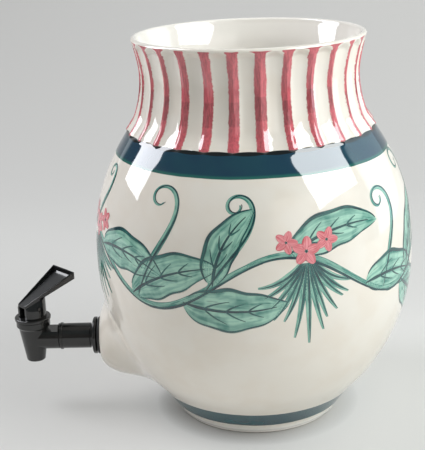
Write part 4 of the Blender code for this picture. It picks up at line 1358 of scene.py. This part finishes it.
def make_body(plastic):
    """Barrel, collar and spout turned upright, joined to the shelved arm and bored through."""
    body = solid_turned("body_turned", rounded([
        (0.0, COLLAR[1]), (COLLAR_RADIUS, COLLAR[1]), (COLLAR_RADIUS, COLLAR[0]),
        (CONE_RADIUS, CONE_TOP), (NOZZLE_RADIUS, -NOZZLE_DROP), (0.0, -NOZZLE_DROP),
    ], {1: 0.0004, 2: 0.0005, 3: 0.0010, 4: 0.0010}), 96, BARREL_PLACE)
    arm = solid_turned("arm", rounded([
        (0.0, BARREL_REACH), (ARM_RADIUS, BARREL_REACH), (ARM_RADIUS, ARM_START),
        (0.0, ARM_START)], {2: 0.0006}), 96, Matrix())
    combine(arm, block("shelf", (SHELF, SHELF + ARM_RADIUS), (-2 * ARM_RADIUS, 2 * ARM_RADIUS),
                       (ARM_START + PAST, BARREL_REACH + PAST)), "DIFFERENCE")
    arm.data.transform(TAP_PLACE)
    combine(body, arm, "UNION")
    throat = solid_turned("throat", [
        (0.0, COLLAR[1] + PAST), (COUNTERBORE, COLLAR[1] + PAST), (COUNTERBORE, CHAMBER[0]),
        (CHAMBER[1], CHAMBER[0]), (CHAMBER[1], -SEAT_DROPS[0]), (NOZZLE_BORE, -SEAT_DROPS[1]),
        (NOZZLE_BORE, -NOZZLE_DROP - PAST), (0.0, -NOZZLE_DROP - PAST)], 96, BARREL_PLACE)
    combine(body, throat, "DIFFERENCE")
    socket = TAIL_END + SEAT_GAP
    reach = O_RING[0] + O_RING[1] + SEAT_GAP
    passage = solid_turned("passage", [
        (0.0, BARREL_REACH), (TAIL_BORE, BARREL_REACH), (TAIL_BORE, socket), (reach, socket),
        (reach, ARM_START - PAST), (0.0, ARM_START - PAST)], 96, TAP_PLACE)
    combine(body, passage, "DIFFERENCE")
    dress(body, "tap_body", "root", plastic, 30)


def make_bonnet(plastic, rubber):
    """The disc with its plug that closes the barrel, and the gasket under the plug."""
    hole = STEM_RADIUS + RUN_GAP
    outer, inner, foot = PLUG
    bonnet = turned("bonnet_turned", rounded([
        (hole, BONNET_TOP), (BONNET_RADIUS, BONNET_TOP), (BONNET_RADIUS, BONNET_UNDER),
        (outer, BONNET_UNDER), (outer, foot), (inner, foot), (inner, BONNET_UNDER),
        (hole, BONNET_UNDER)], {0: 0.0002, 1: 0.0009, 2: 0.0005, 4: 0.0003}), 96, BARREL_PLACE)
    dress(bonnet, "bonnet", "root", plastic)
    high = foot - SEAT_GAP
    gasket = turned("gasket_turned", ring_profile(
        inner, outer, high - GASKET_THICK, high, 0.0002), 96, BARREL_PLACE)
    dress(gasket, "bonnet_gasket", "root", rubber)


def make_cup(silicone):
    """The cup: a plug for the seat, a waist that lets water by and a lip against the bore."""
    hole = STEM_RADIUS + RUN_GAP
    pocket, pocket_low, pocket_high = KNOB[0] + RUN_GAP, KNOB[1] - RUN_GAP, KNOB[2] + RUN_GAP
    slope = (SEAT_DROPS[1] - SEAT_DROPS[0]) / (CHAMBER[1] - NOZZLE_BORE)
    seat = CUP_TIP[1] + slope * (CUP_RADIUS - CUP_TIP[0])
    lip = CHAMBER[1] - RUN_GAP
    waist, waist_high, waist_low = CUP_WAIST
    cup = turned("cup_turned", rounded([
        (hole, CUP_LIP[1]), (lip, CUP_LIP[1]), (lip, CUP_LIP[0]), (waist, waist_high),
        (waist, waist_low), (CUP_RADIUS, CUP_SHOULDER), (CUP_RADIUS, seat), CUP_TIP,
        (0.0, CUP_TIP[1]), (0.0, pocket_low), (pocket, pocket_low), (pocket, pocket_high),
        (hole, pocket_high)],
        {1: 0.0003, 2: 0.0003, 3: 0.0008, 4: 0.0004, 6: 0.0003, 7: 0.0005}), 80, BARREL_PLACE)
    dress(cup, "seat_cup", "seat_cup", silicone)


def spring_wire(finish, length):
    """Geometry nodes that sweep a round wire along a spiral."""
    g = Growth("valve_spring", {"Turns": SPRING_TURNS, "Radius": SPRING_RADIUS,
                                "Length": length, "Wire": SPRING_WIRE / 2})
    given = g.given
    coil = g.node("GeometryNodeCurveSpiral", {
        "Resolution": 40, "Rotations": given["Turns"], "Start Radius": given["Radius"],
        "End Radius": given["Radius"], "Height": given["Length"]})
    wire = g.node("GeometryNodeCurvePrimitiveCircle", {"Resolution": 14,
                                                       "Radius": given["Wire"]})
    sweep = g.node("GeometryNodeCurveToMesh", {
        "Curve": coil.outputs[0], "Profile Curve": wire.outputs[0], "Fill Caps": True})
    g.end(sweep.outputs[0], finish)
    return g


def make_spring(steel):
    """The spring between the cup's lip and the bonnet, as one fixed coil; the real one shortens
    as the cup rises.
    """
    low = CUP_LIP[1] + SEAT_GAP + SPRING_WIRE / 2
    high = BONNET_UNDER - SEAT_GAP - SPRING_WIRE / 2
    spring = add_object("spring_coil", bpy.data.meshes.new("spring_coil"))
    spring_wire(steel, high - low).grow(spring)
    spring.data.transform(BARREL_PLACE @ Matrix.Translation((0, 0, low)))
    dress(spring, "spring", "root", steel, 60)
    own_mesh(spring)


def extruded(name, outline, width):
    """A solid from a closed outline of (along, up) pairs, centred across the lever."""
    shape = bmesh.new()
    face = shape.faces.new([shape.verts.new((x, -width / 2, z)) for x, z in outline])
    grown = bmesh.ops.extrude_face_region(shape, geom=[face])
    moved = [g for g in grown["geom"] if isinstance(g, bmesh.types.BMVert)]
    bmesh.ops.translate(shape, verts=moved, vec=(0, width, 0))
    bmesh.ops.recalc_face_normals(shape, faces=shape.faces)
    return object_from(name, shape)


def cross_rod(name, radius, length, edge=0.0):
    """A round bar across the lever, with a small chamfer at its ends if asked."""
    half = length / 2
    return solid_turned(name, [(0, half), (radius - edge, half), (radius, half - edge),
                               (radius, edge - half), (radius - edge, -half), (0, -half)],
                        48, Matrix.Rotation(math.pi / 2, 4, "X"))


def make_stem(plastic):
    """A rod with a knob below and a slab head above, drilled for the lever's pin."""
    join = PIN_HEIGHT + BONNET_TOP - HEAD_LENGTH + HEAD_RADIUS / 2
    stem = solid_turned("stem_turned", rounded([
        (0.0, join), (STEM_RADIUS, join), (STEM_RADIUS, KNOB[2]), (KNOB[0], KNOB[2]),
        (KNOB[0], KNOB[1]), (0.0, KNOB[1])], {3: 0.0004, 4: 0.0006}), 64, BARREL_PLACE)
    outline = [(-HEAD_RADIUS, -HEAD_LENGTH), (HEAD_RADIUS, -HEAD_LENGTH)]
    for k in range(25):
        turn = math.pi * k / 24
        outline.append((HEAD_RADIUS * math.cos(turn), HEAD_RADIUS * math.sin(turn)))
    head = extruded("stem_head", outline, HEAD_WIDTH)
    head.data.transform(PIVOT_PLACE)
    combine(stem, head, "UNION")
    hole = cross_rod("pin_hole", PIN_RADIUS + RUN_GAP, 2 * DRUM_RADIUS)
    hole.data.transform(PIVOT_PLACE)
    combine(stem, hole, "DIFFERENCE")
    dress(stem, "stem", "stem", plastic, 30)


# -------------------------------------------------------------------- lever


def along(ends, place):
    """A value of the lever at a place between its tip and its wide end, or beyond."""
    share = (place + LEVER_TIP) / (LEVER_END + LEVER_TIP)
    return ends[0] + (ends[1] - ends[0]) * share


def under_rise(place):
    return along(LEVER_RISES, place) - along(LEVER_THICKS, place)


def floor_rise(place):
    return along(LEVER_RISES, place) - along(TROUGH_DEPTHS, place)


def tapered_box(name, ends, widths, tops, bottoms, bevel=0.0):
    """A box whose width, top and bottom change evenly from its tip to its end."""
    shape = bmesh.new()
    bmesh.ops.create_cube(shape, size=1.0)
    for vert in shape.verts:
        at = 0 if vert.co.x < 0 else 1
        rises = bottoms if vert.co.z < 0 else tops
        vert.co = Vector((ends[at], vert.co.y * widths[at], rises[at]))
    if bevel:
        bmesh.ops.bevel(shape, geom=shape.edges[:], offset=bevel, segments=4,
                        affect="EDGES", profile=0.5)
    return object_from(name, shape)


def cam_outline():
    """The foot's side view: flat, then an involute that rolls on the bonnet."""
    drop = PIN_HEIGHT - SEAT_GAP
    outline = [(-LEVER_TIP, -drop)]
    for k in range(25):
        angle = LEVER_PRESS * k / 24
        arm = drop + CAM_REACH * angle
        outline.append((arm * math.sin(angle) + CAM_REACH * math.cos(angle),
                        CAM_REACH * math.sin(angle) - arm * math.cos(angle)))
    back = DRUM_RADIUS + FAR_PAST
    outline.append((back, outline[-1][1] + (back - outline[-1][0]) * math.tan(LEVER_PRESS)))
    outline += [(x, under_rise(x) + LEVER_ROUND) for x in (back, -LEVER_TIP)]
    return outline


def cheek_facet(side):
    """A wedge that slants the foot's shoulder from the trough's edge, near the tip."""
    shape = bmesh.new()
    outer = DRUM_RADIUS + FAR_PAST
    low = under_rise(-LEVER_TIP) - CHEEK_DROP
    near, far = [], []
    for ring, x in ((near, -LEVER_TIP - FAR_PAST), (far, -LEVER_TIP + CHEEK_LENGTH)):
        inner = along(LEVER_WIDTHS, x) / 2
        top = under_rise(x)
        for y, z in ((inner, top + FAR_PAST), (outer, top + FAR_PAST), (outer, low),
                     (inner, top)):
            ring.append(shape.verts.new((x, side * y, z)))
    for k in range(4):
        shape.faces.new((near[k], near[k - 1], far[k - 1], far[k]))
    shape.faces.new(near)
    shape.faces.new(reversed(far))
    bmesh.ops.recalc_face_normals(shape, faces=shape.faces)
    return object_from("cheek_facet", shape)


def trough_ramp():
    """The steep fillet where the trough's floor meets its end wall."""
    back = LEVER_END - TROUGH_WALL
    foot, top = back - RAMP[0], back + 0.4 * MM
    half = along(LEVER_WIDTHS, foot) / 2 - TROUGH_WALL + 0.2 * MM
    floor = floor_rise(foot)
    sunk = floor - 0.3 * MM
    corners = [(foot, sunk), (foot, floor), (top, floor + RAMP[1]), (top, sunk)]
    points = [(x, side * half, z) for side in (-1, 1) for x, z in corners]
    faces = [(0, 1, 2, 3), (7, 6, 5, 4)] + [
        (k, k + 4, (k + 1) % 4 + 4, (k + 1) % 4) for k in range(4)]
    return add_object("trough_ramp", mesh_from("trough_ramp", points, faces))


def make_lever(plastic):
    """A tapered trough on a round foot that is slotted for the stem's head, and its pin."""
    lever = tapered_box("lever_trough", (-LEVER_TIP, LEVER_END), LEVER_WIDTHS, LEVER_RISES,
                        (under_rise(-LEVER_TIP), under_rise(LEVER_END)), LEVER_ROUND)
    foot = extruded("lever_foot", cam_outline(), 3 * DRUM_RADIUS)
    combine(foot, rod("lever_drum", DRUM_RADIUS, *DRUM_SPAN, 128, Matrix()), "INTERSECT")
    for side in (1, -1):
        combine(foot, cheek_facet(side), "DIFFERENCE")
    combine(lever, foot, "UNION")
    ends = (-LEVER_TIP - FAR_PAST, LEVER_END - TROUGH_WALL)
    trough = tapered_box("trough", ends,
                         [along(LEVER_WIDTHS, x) - 2 * TROUGH_WALL for x in ends],
                         [along(LEVER_RISES, x) + FAR_PAST for x in ends],
                         [floor_rise(x) for x in ends])
    combine(lever, trough, "DIFFERENCE")
    combine(lever, trough_ramp(), "UNION")
    ends = (-LEVER_TIP - FAR_PAST, SLOT_BACK)
    slot = tapered_box("stem_slot", ends, (SLOT_WIDTH, SLOT_WIDTH),
                       [under_rise(x) for x in ends], (-PIN_HEIGHT - FAR_PAST,) * 2)
    combine(lever, slot, "DIFFERENCE")
    combine(lever, cross_rod("lever_hole", PIN_RADIUS + RUN_GAP, 3 * DRUM_RADIUS), "DIFFERENCE")
    lever.data.transform(PIVOT_PLACE)
    dress(lever, "lever", "lever", plastic, 25)
    pin = cross_rod("pin_bar", PIN_RADIUS, PIN_LENGTH, 0.0002)
    pin.data.transform(PIVOT_PLACE)
    dress(pin, "lever_pin", "lever", plastic)


# --------------------------------------------------------- camera and stage


def make_camera():
    """The photograph's view, from its fitted turn, tilt and roll."""
    turn, tilt, roll = (math.radians(a) for a in CAMERA_ANGLES)
    ahead = Vector((math.sin(turn) * math.cos(tilt), math.cos(turn) * math.cos(tilt),
                    -math.sin(tilt)))
    right = Vector((math.cos(turn), -math.sin(turn), 0))
    up = right.cross(ahead)
    rolled = right * math.cos(roll) + up * math.sin(roll)
    upward = -right * math.sin(roll) + up * math.cos(roll)
    lens = bpy.data.cameras.new("camera")
    lens.sensor_width = CAMERA_SENSOR
    lens.sensor_fit = "AUTO"
    lens.lens = CAMERA_FOCUS * CAMERA_SENSOR
    camera = bpy.data.objects.new("camera", lens)
    bpy.context.scene.collection.objects.link(camera)
    basis = Matrix((rolled, upward, -ahead)).transposed().to_4x4()
    basis.translation = Vector(CAMERA_PLACE)
    camera.matrix_world = basis
    bpy.context.scene.camera = camera


def paper_finish():
    """Matt paper, darker towards the upper left as painted shade, with a painted pool of light
    right of the pot.

    Part of its tone is a painted glow, for rays that see it, that lifts the shadows on it, and
    darkens close to the pot as a painted contact shadow.
    """
    f = Finish("sweep_paper")
    x, y, z = f.split(f.place())
    # Darker towards the upper left: painted shade
    across = f.rise(x, -0.9, 0.9)
    tone = f.mul(f.rise(y, -0.6, 0.9), f.add(0.6, f.mul(f.rise(z, 0.0, 0.9), 0.4)))
    # A painted pool of light on the floor right of the pot
    painted_pool = f.mul(f.rise(x, 0.0, 0.08), f.rest(f.rise(y, 0.02, 0.24)))

    def paper(low, high, lighter):
        return f.mix(painted_pool, f.mix(tone, f.mix(across, *low), f.mix(across, *high)), lighter)

    lit = paper(PAPER_LIT_LOW, PAPER_LIT_HIGH, PAPER_LIT_LIGHT_POOL)
    seen = paper(PAPER_SEEN_LOW, PAPER_SEEN_HIGH, PAPER_SEEN_LIGHT_POOL)
    grain = f.noise(f.place(), 400.0)
    f.set(Base_Color=f.mix(f.mul(grain, 0.03), lit, PAPER_FIBRE), Roughness=0.9)
    # For rays that see it, part of the tone is a painted glow that lifts the shadows on the
    # paper
    rays = f.node("LightPath").outputs
    watched = f.math("MAXIMUM", f.math("MAXIMUM", rays["Is Camera Ray"],
                                       rays["Is Glossy Ray"]), rays["Is Transmission Ray"])
    # Close to the pot the glow darkens: a painted contact shadow
    glow_with_painted_shadow = f.node("AmbientOcclusion", {"Distance": PAINTED_SHADOW_REACH, "Color": seen}, samples=8)
    glow = f.node("Emission", {"Color": glow_with_painted_shadow.outputs["Color"]})
    blend = f.node("MixShader", {0: f.mul(watched, PAPER_GLOW_SHARE), 1: f.shader.outputs[0],
                                 2: glow.outputs[0]})
    f.put(f.tree.nodes["Material Output"].inputs["Surface"], blend.outputs[0])
    return f.material


def make_stage():
    """A pale floor that sweeps up into the backdrop."""
    profile = [(PAPER_FRONT, 0.0), (PAPER_BEND, 0.0)]
    for k in range(1, 17):
        turn = math.pi / 2 * k / 16
        profile.append((PAPER_BEND + PAPER_BEND_RADIUS * math.sin(turn),
                        PAPER_BEND_RADIUS * (1 - math.cos(turn))))
    profile.append((PAPER_BEND + PAPER_BEND_RADIUS, PAPER_TOP))
    points = [(x, y, z - PAPER_DROP) for x in PAPER_SIDES for y, z in profile]
    count = len(profile)
    faces = [[k, k + count, k + count + 1, k + 1] for k in range(count - 1)]
    sweep = add_object("sweep", mesh_from("sweep", points, faces), paper_finish())
    sweep.data.shade_smooth()


def add_soft_box(name, azimuths, heights, distance, radiance, colour):
    """A rectangular lamp that fills a range of directions seen from the pot's shoulder.

    Directions are in degrees: azimuth from -Y towards +X, and height above the floor.
    """
    middle = math.radians(sum(azimuths) / 2)
    rise = math.radians(sum(heights) / 2)
    ahead = Vector((math.sin(middle) * math.cos(rise), -math.cos(middle) * math.cos(rise),
                    math.sin(rise)))
    wide = 2 * distance * math.tan(math.radians(azimuths[1] - azimuths[0]) / 2) * math.cos(rise)
    tall = 2 * distance * math.tan(math.radians(heights[1] - heights[0]) / 2)
    lamp = bpy.data.lights.new(name, "AREA")
    lamp.shape = "RECTANGLE"
    lamp.size, lamp.size_y = wide, tall
    lamp.energy = radiance * math.pi * wide * tall
    lamp.color = colour
    obj = bpy.data.objects.new(name, lamp)
    obj.location = Vector((0, 0, SHOULDER_HEIGHT)) + ahead * distance
    obj.rotation_euler = (-ahead).to_track_quat("-Z", "Y").to_euler()
    bpy.context.scene.collection.objects.link(obj)


def make_lights():
    """Two soft boxes, and a room whose brightness changes around and up."""
    world = bpy.data.worlds.new("studio")
    bpy.context.scene.world = world
    world.use_nodes = True
    f = Nodes(world.node_tree)
    x, y, z = f.split(f.node("TexCoord").outputs["Generated"])
    ramp = f.node("ValToRGB", {0: f.add(f.math("DIVIDE", f.azimuth(x, y), FULL_TURN), 0.5)})
    stops = ramp.color_ramp.elements
    for k, (azimuth, colour) in enumerate(ROOM_RING):
        stop = stops[k] if k < 2 else stops.new(1.0)
        stop.position = azimuth / 360 + 0.5
        stop.color = (*colour, 1.0)
    above = f.mix(f.rise(z, *ROOM_CAP), ROOM_DIM, ROOM_CAP_COLOUR)
    f.put(f.tree.nodes["Background"].inputs["Color"],
          f.mix(f.rise(z, *ROOM_RING_TOP), ramp.outputs[0], above))
    for name, values in SOFT_BOXES.items():
        add_soft_box(name, *values)
    bpy.context.scene.view_settings.view_transform = "Standard"


glaze = glaze_finish()
black = plastic_finish("tap_plastic", srgb(26, 26, 26), 0.09, 0.04)
lever_black = plastic_finish("lever_plastic", srgb(26, 26, 27), 0.10, 0.04, lever=True)
rubber = plastic_finish("black_rubber", srgb(30, 30, 31), 0.6, 0.1)
nylon = plastic_finish("natural_nylon", srgb(214, 210, 198), 0.4)
silicone = plastic_finish("clear_silicone", srgb(216, 216, 212), 0.45)
steel = metal_finish("spring_steel", srgb(200, 202, 205), 0.25)
make_camera()
make_stage()
make_lights()
make_pot(glaze)
make_garland(
    brushed_finish("green_wash", srgb(164, 210, 190), srgb(34, 118, 108), 0.36, 0.10),
    brushed_finish("dark_ink", srgb(58, 128, 118), srgb(8, 48, 60), 0.10, 0.30),
    brushed_finish("red_wash", srgb(232, 150, 156), srgb(190, 52, 66), 0.30, 0.14))
make_shank(black, rubber)
make_washers(rubber, nylon)
make_nut(black)
make_body(black)
make_bonnet(black, rubber)
make_cup(silicone)
make_spring(steel)
make_stem(black)
make_lever(lever_black)
